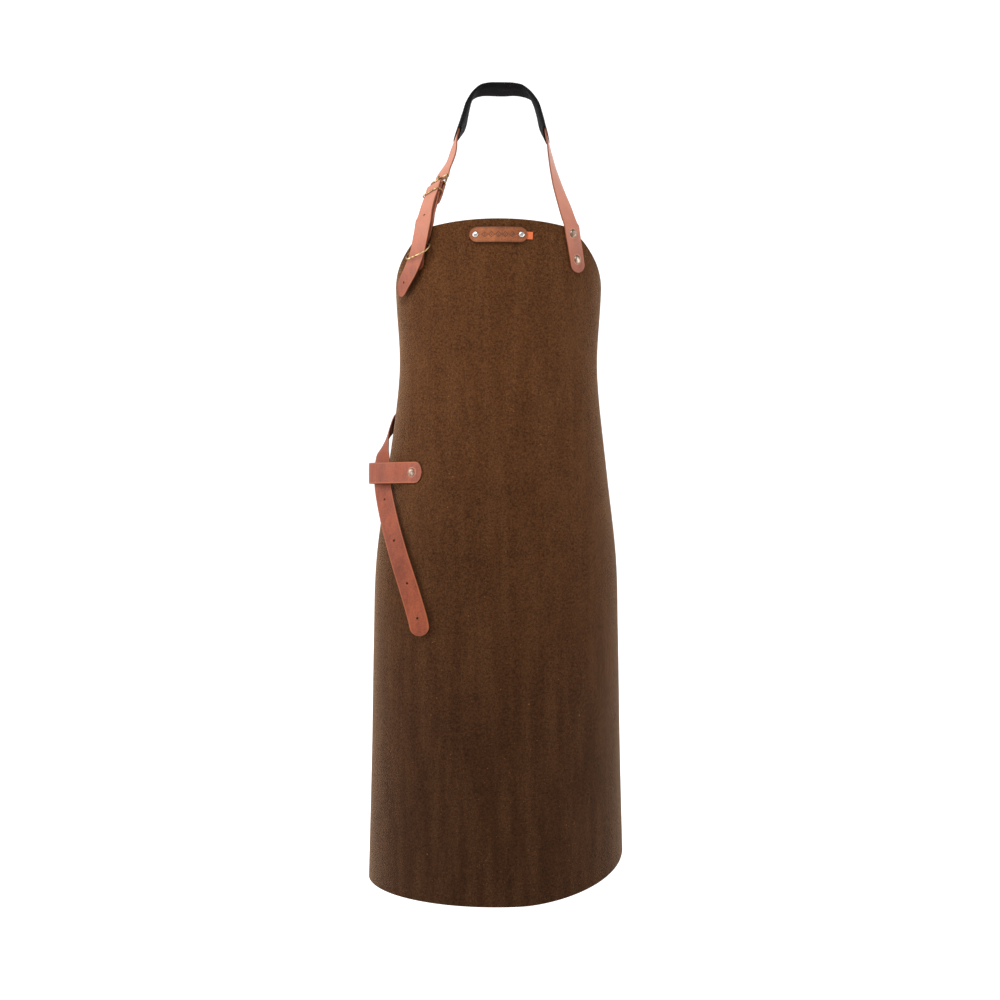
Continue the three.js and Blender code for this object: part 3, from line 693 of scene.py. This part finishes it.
sizes = {
    "neckWidth": 28,
    "beltWidth": 30,
    "gap": 0.4,
    "post": 1.6,
    "cap": 6,
    "capHeight": 2.4,
    "labelCap": 4,
    "washer": 1.2,
    "wire": 1.5,
    "thinWire": 1.1,
    "barToRail": 19,
}
neckWidth, beltWidth, gap = (sizes[k] for k in ("neckWidth", "beltWidth", "gap"))
wire, thinWire, barToRail = (sizes[k] for k in ("wire", "thinWire", "barToRail"))
strap = strapLook["thick"]
halfStrap = strap / 2
skin = panelSize["leather"] / 2
flat = skin + gap + halfStrap
grip = panelSize["leather"] + gap + strap
barRoom = wire + gap + halfStrap
tailOverBar = barRoom + strap + gap + 0.8
tailUnderRail = -(wire + 1.4 + halfStrap)


# rivets

def lathe(name, place, profile, sides, paint, ends=True):
    points, faces = [], []
    for radius, height in profile:
        for k in range(sides):
            turn = 2 * math.pi * k / sides
            points.append(place.off(radius * math.cos(turn), height, radius * math.sin(turn)))
    faces = gridFaces(len(profile), sides)
    if ends:
        last = (len(profile) - 1) * sides
        faces += [tuple(range(sides - 1, -1, -1)), tuple(range(last, last + sides))]
    else:
        faces = [tuple(i % ((len(profile) - 1) * sides) for i in f) for f in faces]
        points = points[:(len(profile) - 1) * sides]
    obj = addMesh(name, points, faces, paint, sharp=38)
    if solidVolume(obj.data) < 0:
        obj.data.flip_normals()
    return obj


def addRivet(name, place, depth, radius, metal="nickel"):
    rivetSpots.append((place.point.copy(), place.face.copy(), radius))
    high = sizes["capHeight"] * radius / sizes["cap"]
    foot = -depth - sizes["washer"] - gap - 0.3
    post = sizes["post"]
    profile = [(0.6, foot), (post - 0.3, foot), (post, foot + 0.3), (post, gap), (radius - 0.25, gap),
               (radius, gap + 0.18), (radius, gap + 0.3 * high), (0.97 * radius, gap + 0.42 * high),
               (0.88 * radius, gap + 0.62 * high), (0.74 * radius, gap + 0.79 * high),
               (0.58 * radius, gap + 0.9 * high), (0.4 * radius, gap + 0.97 * high),
               (0.2 * radius, gap + high)]
    cap = lathe(name + "Cap", place, profile, 32, metal)
    standFor(cap, "apron", "rivet_metal", name + "_cap")
    inner, outer, top = post + 0.3, 0.85 * radius, -depth - gap - 0.3
    low = top - sizes["washer"]
    ring = [(inner, low + 0.2), (inner + 0.3, low), (outer - 0.4, low), (outer, low + 0.4), (outer, top),
            (inner, top), (inner, low + 0.2)]
    washer = lathe(name + "Washer", place, ring, 28, "nickel", ends=False)
    standFor(washer, "apron", "rivet_metal", name + "_washer")


def seat(route, point):
    place = route.at(route.nearest(point))
    place.point += place.face * halfStrap
    return place


# buckles

def roundedLoop(half, low, high, corner, put, steps=4):
    centres = ((half - corner, low + corner), (half - corner, high - corner),
               (corner - half, high - corner), (corner - half, low + corner))
    points = []
    for i, (a, b) in enumerate(centres):
        for k in range(steps + 1):
            turn = math.pi / 2 * (i - 1 + k / steps)
            points.append(put(a + corner * math.cos(turn), b + corner * math.sin(turn)))
    return points


def addBuckle(prefix, bar, width, keeperAt):
    half = width / 2 + 1.2 + wire
    loop = roundedLoop(half, 0, barToRail, 2.6, lambda s, a: bar.off(s, 0, a))
    rim = tube(prefix + "BuckleFrame", loop, wire, "brass", rings=16)
    standFor(rim, prefix + "_buckle_frame", "buckle_brass", prefix + "_buckle_frame")
    eyeGap, overGap = 0.35, 0.3  # the prong's clearance round the bar and over the rail
    eyeRadius = wire + eyeGap + thinWire
    eye = [bar.off(0, eyeRadius * math.cos(t * math.pi / 8), eyeRadius * math.sin(t * math.pi / 8))
           for t in range(16)]
    over = wire + overGap + thinWire
    finger = [bar.off(0, f, a) for a, f in ((eyeRadius, 0), (0.5 * barToRail, 0.34 * over),
              (0.85 * barToRail, 0.85 * over), (barToRail, over), (barToRail + 3.5, over))]
    prong = joined(prefix + "BuckleProng", tube("eye", eye, thinWire, "brass"),
                   tube("finger", finger, thinWire, "brass", closed=False))
    standFor(prong, prefix + "_buckle_prong", "buckle_brass", prefix + "_buckle_prong")
    top = tailOverBar + halfStrap + 3 * gap + thinWire
    keeper = roundedLoop(width / 2 + 1 + thinWire, 0, top, 2, lambda s, f: bar.off(s, f, keeperAt))
    ring = tube(prefix + "WireKeeper", keeper, thinWire, "brass", rings=12)
    standFor(ring, prefix + "_wire_keeper", "buckle_brass", prefix + "_wire_keeper")


def foldStations(bar, back, keeperAt):
    parallel = keeperAt - 7
    closed = halfStrap + 0.5 * gap + 0.2
    made = [(bar.off(0, f, a), -bar.face)
            for f, a in ((-closed, -back), (-barRoom, parallel), (-barRoom, parallel / 2))]
    for i in range(7):
        turn = math.pi * (i / 6 - 0.5)
        face = bar.face * math.sin(turn) + bar.along * math.cos(turn)
        made.append((bar.point + face * barRoom, face))
    made += [(bar.off(0, barRoom, a), bar.face) for a in (parallel / 2, parallel)]
    return made + [(bar.off(0, closed, -back), bar.face)]


def threadStations(bar, foldLength):
    return [(bar.off(0, f, a), bar.face) for a, f in (
        (barToRail + 14, 0.8 * tailUnderRail), (barToRail + 1, tailUnderRail),
        (barToRail / 2, (tailUnderRail + tailOverBar) / 2), (0, tailOverBar),
        (-foldLength / 2, tailOverBar + 0.3), (-foldLength, tailOverBar + 1.2))]


# the panel

panelGrid = {
    "columns": 132,
    "armholeRows": 58,
    "skirtRows": 74,
    "cornerRows": 8,
    "cutSoft": 0.5,
    "rimBulge": 0.35,  # how far the cut edge rounds out
    "rimWear": 0.55,
}


def panelRows():
    made = []
    for i in range(panelGrid["armholeRows"] + 1):
        half, h = armholePoint(i / panelGrid["armholeRows"])
        made.append((h, half))
    radius = panelSize["hemRadius"]
    for i in range(1, panelGrid["skirtRows"] + 1):
        share = i / panelGrid["skirtRows"]
        made.append((armholeDepth + share * (panelLength - radius - armholeDepth), sideHalf))
    for i in range(1, panelGrid["cornerRows"] + 1):
        turn = math.pi / 2 * i / panelGrid["cornerRows"]
        made.append((panelLength - radius * (1 - math.sin(turn)), sideHalf - radius * (1 - math.cos(turn))))
    return made


def panelSpot(row, u):
    h, half = row
    arch = panelSize["bibArch"] * max(1 - h / armholeDepth, 0)
    s = u * half
    down = h - arch * (1 - u * u) * (1 if h < panelSize["bibArch"] + 10 else 0.6)
    away = max(0, (s - panelSize["hemRiseFrom"]) / (sideHalf - panelSize["hemRiseFrom"]))
    share = max(0, (h - armholeDepth) / (panelLength - armholeDepth))
    return s, down - panelSize["hemRise"] * away ** 1.5 * share ** 3


def buildPanel():
    rows = panelRows()
    count = panelGrid["columns"]
    across = [math.sin((k / count - 0.5) * math.pi * 0.86) / math.sin(math.pi * 0.43)
              for k in range(count + 1)]
    thick = panelSize["leather"]
    front = [[onSurface(*panelSpot(row, u)) for u in across] for row in rows]
    points, rim, faces = [], [], []
    for side in (1, -1):
        for i, line in enumerate(front):
            for k, place in enumerate(line):
                onEdge = i in (0, len(rows) - 1) or k in (0, count)
                lift = thick / 2 - (panelGrid["cutSoft"] if onEdge else 0)
                points.append(place.point + place.face * side * lift)
                rim.append(panelGrid["rimWear"] if onEdge else 0.0)
    width = count + 1
    size = width * len(rows)
    for i in range(len(rows) - 1):
        for k in range(count):
            a, b = i * width + k, i * width + k + 1
            faces.append((a, a + width, b + width, b))
            faces.append((size + a, size + b, size + b + width, size + a + width))
    border = list(range(width))
    border += [i * width + count for i in range(1, len(rows))]
    border += [(len(rows) - 1) * width + k for k in range(count - 1, -1, -1)]
    border += [i * width for i in range(len(rows) - 2, 0, -1)]
    base = len(points)
    middle = sum(points, Vector()) / len(points)
    flatPlaces = [place for line in front for place in line]
    n = len(border)
    for j, index in enumerate(border):
        here = flatPlaces[index].point
        before, after = flatPlaces[border[j - 1]].point, flatPlaces[border[(j + 1) % n]].point
        outward = (after - before).cross(flatPlaces[index].face).normalized()
        if outward.dot((middle - here).normalized()) > 0.2:  # it points into the panel
            outward = -outward
        points.append(here + outward * panelGrid["rimBulge"])
        rim.append(1.0)
    for j in range(n):
        a, b = border[j], border[(j + 1) % n]
        c, d = base + j, base + (j + 1) % n
        faces.append((a, b, d, c))
        faces.append((size + b, size + a, c, d))
    panel = addMesh("apronPanel", points, faces, "nubuck", {"rim": rim}, sharp=60)
    if solidVolume(panel.data) < 0:
        panel.data.flip_normals()
    standFor(panel, "apron", "panel_leather", "apron_panel")


buildPanel()
print("panel hung")


# the neck loop's buckle side

bibS = bibHalf - neckWidth / 2 + 3
sleeveLift = skin + gap + 2 * thinWire + gap + halfStrap + 0.5
standLift = flat + 1
tailLift = standLift + halfStrap + gap + sizes["capHeight"] + gap + halfStrap + 0.4
ringH = 34
neckFace = 0.87
neckBar = Place(vec(-92, -146, -187), vec(0.17, 0.6, 0.78),
                vec(-math.cos(neckFace), -0.75 * math.sin(neckFace), 0.65 * math.sin(neckFace)))
neckKeeperAt, neckFold = -21, 45


def buildNeckBuckle():
    route = Route(foldStations(neckBar, neckFold, neckKeeperAt) + [
        onPanel(-(bibS - 6.5), -4, standLift - 0.4),
        onPanel(-(bibS - 4), 5, standLift),
        onPanel(-(bibS - 1), 15, standLift),
        onPanel(-(bibS + 1.5), 21, standLift + 0.6),
        onPanel(-(bibS + 4), ringH - 7, sleeveLift),
        onPanel(-(bibS + 6), ringH, sleeveLift),
        onPanel(-(bibS + 8), ringH + 7, sleeveLift),
        onPanel(-(bibS + 11), 54, standLift),
        onPanel(-(bibS + 14), 67, standLift),
    ])
    for i, (s, h) in enumerate(((-(bibS - 2.5), 13), (-(bibS + 11), 54))):
        place = seat(route, onSurface(s, h, standLift).point)
        addRivet("bib_left_rivet_" + str(i + 1), place, standLift + halfStrap + skin, sizes["cap"])
    spread = 0.55 * (barRoom - 1.5) + 1.5
    fold = neckBar.moved(0, spread + halfStrap, -0.8 * neckFold)
    addRivet("neck_fold_rivet", fold, 2 * (spread + halfStrap), sizes["labelCap"])
    lower = strapMesh("neckBuckleStrap", route, neckWidth, "tan", tips=(3, 10), step=1.6)
    standFor(lower, "apron", "tan_leather", "neck_buckle_strap")
    addBuckle("neck", neckBar, neckWidth, neckKeeperAt)


buildNeckBuckle()


# the long neck strap with its loose end, and the pad on it

padSize = {"width": neckWidth + 7.6, "wall": 1.6, "clear": 0.9, "inside": 1.2, "taper": 0.2}
padThick = strap + 2 * padSize["clear"] + 2 * padSize["wall"]
nape = vec(0, 0.31, 0.95).normalized()
napeMiddle = nape * (padThick / 2)


def turned(hand, turn):
    return (hand * math.cos(turn), -0.75 * math.sin(turn), 0.65 * math.sin(turn))


rightRivets = ((bibS - 2, 15), (bibS + 6, 52))
longStrap = Route([
    onPanel(bibS + 10, 71, flat),
    onPanel(rightRivets[1][0], rightRivets[1][1], flat),
    onPanel(bibS + 2, 33, flat),
    onPanel(rightRivets[0][0], rightRivets[0][1], flat),
    onPanel(bibS - 4, 4, flat),
    free(104.5, -185, -245, *turned(1, 1.02)),
    free(97.5, -168, -217.5, *turned(1, 0.92)),
    free(90.5, -149, -189.5, *turned(1, 0.76)),
    free(82.5, -114, -144.5, *turned(1, 0.46)),
    free(77, -75, -99.5, *turned(1, 0.2)),
    free(68.5, -46, -65, 1, 0, 0.05),
    free(62.5, -23, -34.5, 0.97, 0, 0.2),
    free(52.5, -7, -10, 0.62, 0.1, 0.75),
    free(40, 0, 0.5, 0.2, 0.28, 0.93),
    *((vec(x, napeMiddle.y, napeMiddle.z), nape) for x in (24, 12, 0, -16)),
    free(-31, 0, 0.5, -0.2, 0.28, 0.93),
    free(-42.5, -7, -10, -0.62, 0.1, 0.75),
    free(-50, -23, -34, -0.97, 0, 0.2),
    free(-55.5, -44, -62.5, -1, 0, 0.05),
    free(-67.5, -71, -97, *turned(-1, 0.32)),
    free(-73, -101, -132.5, *turned(-1, 0.6)),
    *threadStations(neckBar, neckFold),
    onPanel(-(bibS - 6.5), -4, tailLift + 0.6),
    onPanel(-(bibS - 0.5), 20, tailLift),
    onPanel(-(bibS + 7), 46, tailLift),
    onPanel(-(bibS + 17), 66, tailLift + 1),
    onPanel(-(bibS + 32), 82, tailLift),
    onPanel(-(bibS + 52), 98, 7),
])


def bendAt(obj, route, point, reach=9):
    # works out the two ends of a short stretch where the loose end begins, but uses neither; only bakes the
    # transform into the mesh
    place = route.at(route.nearest(point))
    tuple((place.point - place.along * reach) * metre)
    tuple((place.point + place.along * reach) * metre)
    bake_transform(obj)


def buildNeckStrap():
    for i, (s, h) in enumerate(rightRivets):
        place = seat(longStrap, onSurface(s, h, flat).point)
        addRivet("bib_right_rivet_" + str(i + 1), place, grip, sizes["cap"])
    obj = strapMesh("neckStrap", longStrap, neckWidth, "tan", tips=(11, 17))
    punch(obj, [longStrap.at(longStrap.length - back) for back in (25, 71, 133)], reach=3)
    standFor(obj, None, "tan_leather", "neck_strap", "neck_strap_tail")
    bendAt(obj, longStrap, onPanel(-(bibS + 14), 63, tailLift + 1)[0])


def sleeveMesh(first, last, width, thick, wall):
    # a flat tube with soft sides, its two ends open
    sideSquare, faceSquare = 0.55, 0.7  # below 1 squares the section's corners
    ringCount, rowsCount = 32, 76
    points, along, across = [], [], []
    for shell in (0, 1):
        for i in range(rowsCount):
            place = longStrap.at(first + (last - first) * i / (rowsCount - 1))
            slim = 1 - padSize["taper"] * ease(abs(place.point.x), 6, 46) * (1 - ease(-place.point.z, 6, 60))
            half = max(width / 2 * slim, neckWidth / 2 + padSize["clear"] + wall) - shell * wall
            deep = thick / 2 * slim - shell * wall
            for k in range(ringCount):
                turn = 2 * math.pi * k / ringCount
                c, q = math.cos(turn), math.sin(turn)
                s = half * math.copysign(abs(c) ** sideSquare, c)
                f = deep * math.copysign(abs(q) ** faceSquare, q)
                points.append(place.off(s, f, 0))
                along.append((last - first) * i / (rowsCount - 1) * metre)
                across.append(s * metre)
    block = ringCount * rowsCount
    faces = gridFaces(rowsCount, ringCount)
    faces += [tuple(block + i for i in reversed(f)) for f in gridFaces(rowsCount, ringCount)]
    for k in range(ringCount):
        n = (k + 1) % ringCount
        a = (rowsCount - 1) * ringCount
        faces.append((n, k, block + k, block + n))
        faces.append((a + k, a + n, block + a + n, block + a + k))
    return addMesh("neckPad", points, faces, "weave", {"runAlong": along, "runAcross": across}, sharp=75)


padCloth = {"pressure": 3.0, "frames": 20, "most": 0.9, "stiff": 18, "bend": 0.6}


def fillPad(obj):
    # the padding swells the sleeve a little between its ends
    rest = np.array([v.co for v in obj.data.vertices])
    cloth = obj.modifiers.new("fill", "CLOTH")
    cloth.settings.use_pressure = True
    cloth.settings.uniform_pressure_force = padCloth["pressure"]
    cloth.settings.tension_stiffness = padCloth["stiff"]
    cloth.settings.compression_stiffness = padCloth["stiff"]
    cloth.settings.bending_stiffness = padCloth["bend"]
    cloth.settings.effector_weights.gravity = 0
    cloth.point_cache.frame_end = padCloth["frames"]
    for step in range(1, padCloth["frames"] + 1):
        bpy.context.scene.frame_set(step)
    graph = bpy.context.evaluated_depsgraph_get()
    swollen = np.array([v.co for v in obj.evaluated_get(graph).data.vertices])
    obj.modifiers.clear()
    bpy.context.scene.frame_set(1)
    moved = swollen - rest
    moved -= moved.mean(0)
    size = np.linalg.norm(moved, axis=1, keepdims=True)
    most = padCloth["most"] * metre
    moved *= np.minimum(1, most / np.maximum(size, 1e-9))
    obj.data.vertices.foreach_set("co", (rest + moved).astype(np.float32).ravel())
    obj.data.update()


def buildPad():
    first = longStrap.nearest(vec(78, -66, -90))
    last = longStrap.nearest(vec(-67, -65, -86))
    pad = sleeveMesh(first, last, padSize["width"], padThick, padSize["inside"])
    if solidVolume(pad.data) < 0:
        pad.data.flip_normals()
    fillPad(pad)
    soft = pad.modifiers.new("soft", "SUBSURF")
    soft.levels = soft.render_levels = 1
    standFor(pad, "apron", "pad_fabric", "neck_pad")


buildNeckStrap()
buildPad()
print("neck loop made")


# the oval ring that keeps the loose end

def buildRing():
    tilt, skew = 0.86, 0.42
    back = onSurface(-(bibS + 6), ringH, skin + gap + thinWire, -0.2 + skew)
    deep = (tailLift + halfStrap + 2 * gap + 2 * thinWire - skin - gap) / math.cos(tilt)
    loop = roundedLoop(neckWidth / 2 + 9.5, 0, deep, 0.48 * deep,
                       lambda s, out: back.off(s, out * math.cos(tilt), -out * math.sin(tilt)))
    ring = tube("neckRingKeeper", loop, thinWire, "brass", rings=12)
    standFor(ring, "neck_ring_keeper", "buckle_brass", "neck_ring_keeper")


buildRing()


# label and tag

labelSize = {"length": 85, "width": 22.5, "h": 22.5, "tag": 0.8, "rivetIn": 9.5, "border": 2.3, "line": 0.45}


def labelGroove(length):
    # a line round the label and a plain chain of lozenges along its middle
    halfRun = labelSize["length"] / 2 - labelSize["width"] / 2

    def depth(mark, s):
        a = mark - length / 2
        outer = labelSize["width"] / 2 - math.hypot(max(abs(a) - halfRun, 0), s)
        groove = 0.6 * max(0, 1 - abs(outer - labelSize["border"]) / labelSize["line"])
        if abs(a) < 25:
            cell = (a + 25) % 10 - 5
            shape = abs(cell) / 5 + abs(s) / 4.2
            groove = max(groove, 1.6 * (1 - abs(shape - 0.86) / 0.2), 1.6 * (1 - shape / 0.36))
        return min(max(groove, 0), 1)

    return depth


def buildLabel():
    h = labelSize["h"]
    lift = skin + gap + labelSize["tag"] + gap + halfStrap
    span = labelSize["length"] / 2 + 8
    route = Route([onPanel(s, h, lift) for s in (-span, -span / 2, 0, span / 2, span)])
    for name, hand in (("label_left_rivet", -1), ("label_right_rivet", 1)):
        at = hand * (labelSize["length"] / 2 - labelSize["rivetIn"])
        addRivet(name, onSurface(at, h, lift + halfStrap), lift + halfStrap + skin,
                 sizes["labelCap"], "silver")
    half = labelSize["length"] / 2
    centre, tip = route.length / 2, labelSize["width"] / 2
    label = strapMesh("labelPatch", route, labelSize["width"], "label", centre - half, centre + half,
                      (tip, tip), step=0.5, groove=labelGroove(route.length), faceSteps=44)
    standFor(label, "apron", "label_leather", "label_patch")
    end = half + 7.5
    tagLift = skin + gap + labelSize["tag"] / 2
    tagRoute = Route([onPanel(s, h + 0.5, tagLift) for s in (end - 12, end - 6, end)])
    tag = strapMesh("labelTag", tagRoute, 11, "tag", thick=labelSize["tag"], step=1.5)
    standFor(tag, "apron", "tag_fabric", "label_tag")


buildLabel()
print("label fixed")


# waist belt

beltH = armholeDepth + 33
beltZ = -panelSize["bibDrop"] - beltH
waistBar = Place(vec(-122, 72, beltZ), vec(0.86, 0.5, 0), vec(-0.5, 0.86, 0))
waistKeeperAt, waistFold = -10, 26
beltRivets = (sideHalf - 38, sideHalf - 14)
beltEnd = sideHalf - 53
tabH = 367
belt = Route([
    onPanel(beltEnd, beltH, flat),
    onPanel(beltRivets[0], beltH, flat),
    onPanel(beltRivets[1], beltH, flat),
    onPanel(sideHalf, beltH, flat),
    free(148, 58, beltZ, 0.93, 0.36, 0),
    free(130, 77, beltZ - 1, 0.55, 0.83, 0),
    free(92, 88, beltZ - 2, 0.2, 0.98, 0),
    free(45, 92, beltZ - 3, 0.06, 1, 0),
    free(0, 93, beltZ - 3, 0, 1, 0),
    free(-45, 92, beltZ - 2, -0.06, 1, 0),
    *threadStations(waistBar, waistFold),
    free(-157.5, 48, beltZ, -0.97, 0.2, 0),
    onPanel(-(sideHalf - 8), beltH, tailLift),
    onPanel(-(sideHalf - 35), beltH + 1, tailLift),
    onPanel(-(sideHalf - 58), beltH + 6, tailLift + 1),
    free(-174.5, -58, beltZ - 26, -0.9, -0.42, 0),
    free(-179.5, -86, beltZ - 48, -0.64, -0.77, 0),
    free(-178.5, -109, beltZ - 72, -0.46, -0.89, 0),
    free(-175.5, -130, beltZ - 104, -0.43, -0.9, 0),
    free(-163.5, -158, beltZ - 156, -0.38, -0.92, 0),
    free(-148, -178, beltZ - 208, -0.32, -0.95, 0),
    free(-129.5, -193, beltZ - 264, -0.22, -0.97, 0),
    free(-117.6, -200.5, beltZ - 304, -0.22, -0.97, 0),
    free(-113.7, -201.5, beltZ - 324.5, -0.22, -0.97, 0),
])


def buildBelt():
    route = Route(foldStations(waistBar, waistFold, waistKeeperAt) + [
        onPanel(-(sideHalf + 4), beltH, flat + 0.6),
        onPanel(-(sideHalf - 2), beltH, flat + 0.4),
        onPanel(-beltRivets[1], beltH, flat),
        onPanel(-beltRivets[0], beltH, flat),
        onPanel(-beltEnd, beltH, flat),
    ])
    for side, hand, own in (("right", 1, belt), ("left", -1, route)):
        for i, s in enumerate(beltRivets):
            place = seat(own, onSurface(hand * s, beltH, flat).point)
            addRivet("waist_" + side + "_rivet_" + str(i + 1), place, grip, sizes["cap"])
    lift = barRoom + halfStrap - 0.3
    addRivet("waist_fold_rivet", waistBar.moved(0, lift, -0.77 * waistFold), 2 * lift, sizes["labelCap"])
    short = strapMesh("waistBuckleStrap", route, beltWidth, "tan", tips=(3, 13), step=1.6)
    standFor(short, "apron", "tan_leather", "waist_buckle_strap")
    addBuckle("waist", waistBar, beltWidth, waistKeeperAt)
    obj = strapMesh("waistBelt", belt, beltWidth, "tan", tips=(13, 14))
    punch(obj, [belt.at(belt.length - back) for back in (26.5, 80.5, 149, 218)], reach=3)
    standFor(obj, None, "tan_leather", "waist_belt", "waist_belt_tail")
    bendAt(obj, belt, vec(-175, -131, -panelSize["bibDrop"] - tabH - 22))


def buildTab():
    z = -panelSize["bibDrop"] - tabH
    front, rear = 136, 301
    route = Route([
        onPanel(-(front - 19), tabH, flat),
        onPanel(-front, tabH, flat),
        onPanel(-(front + 13), tabH, flat + 0.5),
        free(-160, -152, z, -0.6, -0.8, 0),
        free(-184, -131, z, -0.72, -0.69, 0),
        free(-197, -108, z, -0.95, -0.3, 0),
        free(-198, -78, z, -0.98, 0.18, 0),
        free(-187, -50, z, -0.86, 0.5, 0),
        onPanel(-(rear - 12), tabH, flat + 1.2),
        onPanel(-rear, tabH, flat),
        onPanel(-(rear + 17), tabH, flat),
    ])
    for side, s in (("front", front), ("rear", rear)):
        addRivet("tab_" + side + "_rivet", seat(route, onSurface(-s, tabH, flat).point), grip, sizes["cap"])
    tab = strapMesh("waistLoopTab", route, 32, "tan", tips=(13, 13), step=2)
    standFor(tab, "apron", "tan_leather", "waist_loop_tab")


buildBelt()
buildTab()
print("waist belt made")


# studio

studio = {
    "camera": (0, -2.22, -0.659),
    "lens": 49.54,
    "shift": 0.0015,
    "floor": -1.42,
    "white": colour(240, 240, 240),
    "glow": 0.5,
    "air": 0.42,
    "lights": (
        ("keyLight", (-0.4, -1.15, 0.7), (0, -0.14, -0.22), 0.7, 19),
        ("leftLight", (-2.2, -0.5, -0.3), (-0.1, -0.1, -0.7), 1.4, 27),
        ("rightLight", (2.2, -0.5, -0.3), (0.1, -0.1, -0.7), 1.4, 20),
        ("backLight", (0.4, 2.4, 0.6), (0, 0, -0.6), 1.6, 22),
    ),
}


def buildStudio():
    white = Paint("paleFloor")
    grain = white.noise(3, 2)
    paints["floor"] = white.finish({
        "Base Color": white.blend(grain * 0.1, studio["white"], colour(230, 230, 230)),
        "Roughness": 0.9,
        "Emission Color": studio["white"],
        "Emission Strength": studio["glow"],
    })
    points, rows = [], []
    low = studio["floor"] / metre
    for i in range(25):
        turn = math.pi / 2 * min(max((i - 8) / 10, 0), 1)
        ahead = -5000 + 850 * min(i, 8) + 1600 * math.sin(turn)
        up = low + 1600 * (1 - math.cos(turn)) + max(i - 18, 0) * 700
        rows.append((ahead, up))
    for ahead, up in rows:
        points += [vec(x, ahead, up) for x in (-9000, -3000, 3000, 9000)]
    faces = [(i * 4 + k, i * 4 + k + 1, i * 4 + k + 5, i * 4 + k + 4) for i in range(24) for k in range(3)]
    addMesh("paleSweep", points, faces, "floor")
    world = bpy.data.worlds.new("studioAir")
    world.use_nodes = True
    world.node_tree.nodes["Background"].inputs[0].default_value = (1, 1, 1, 1)
    world.node_tree.nodes["Background"].inputs[1].default_value = studio["air"]
    bpy.context.scene.world = world
    for name, spot, aim, size, power in studio["lights"]:
        light = bpy.data.lights.new(name, "AREA")
        light.size = size
        light.energy = power
        obj = bpy.data.objects.new(name, light)
        obj.location = spot
        obj.rotation_euler = (Vector(aim) - Vector(spot)).to_track_quat("-Z", "Y").to_euler()
        bpy.context.scene.collection.objects.link(obj)
    lens = bpy.data.cameras.new("camera")
    lens.lens = studio["lens"]
    lens.sensor_width = 36
    lens.shift_x = studio["shift"]
    camera = bpy.data.objects.new("camera", lens)
    camera.location = studio["camera"]
    camera.rotation_euler = (math.pi / 2, 0, 0)
    bpy.context.scene.collection.objects.link(camera)
    bpy.context.scene.camera = camera
    bpy.context.scene.view_settings.view_transform = "Standard"


buildStudio()
print("studio set")
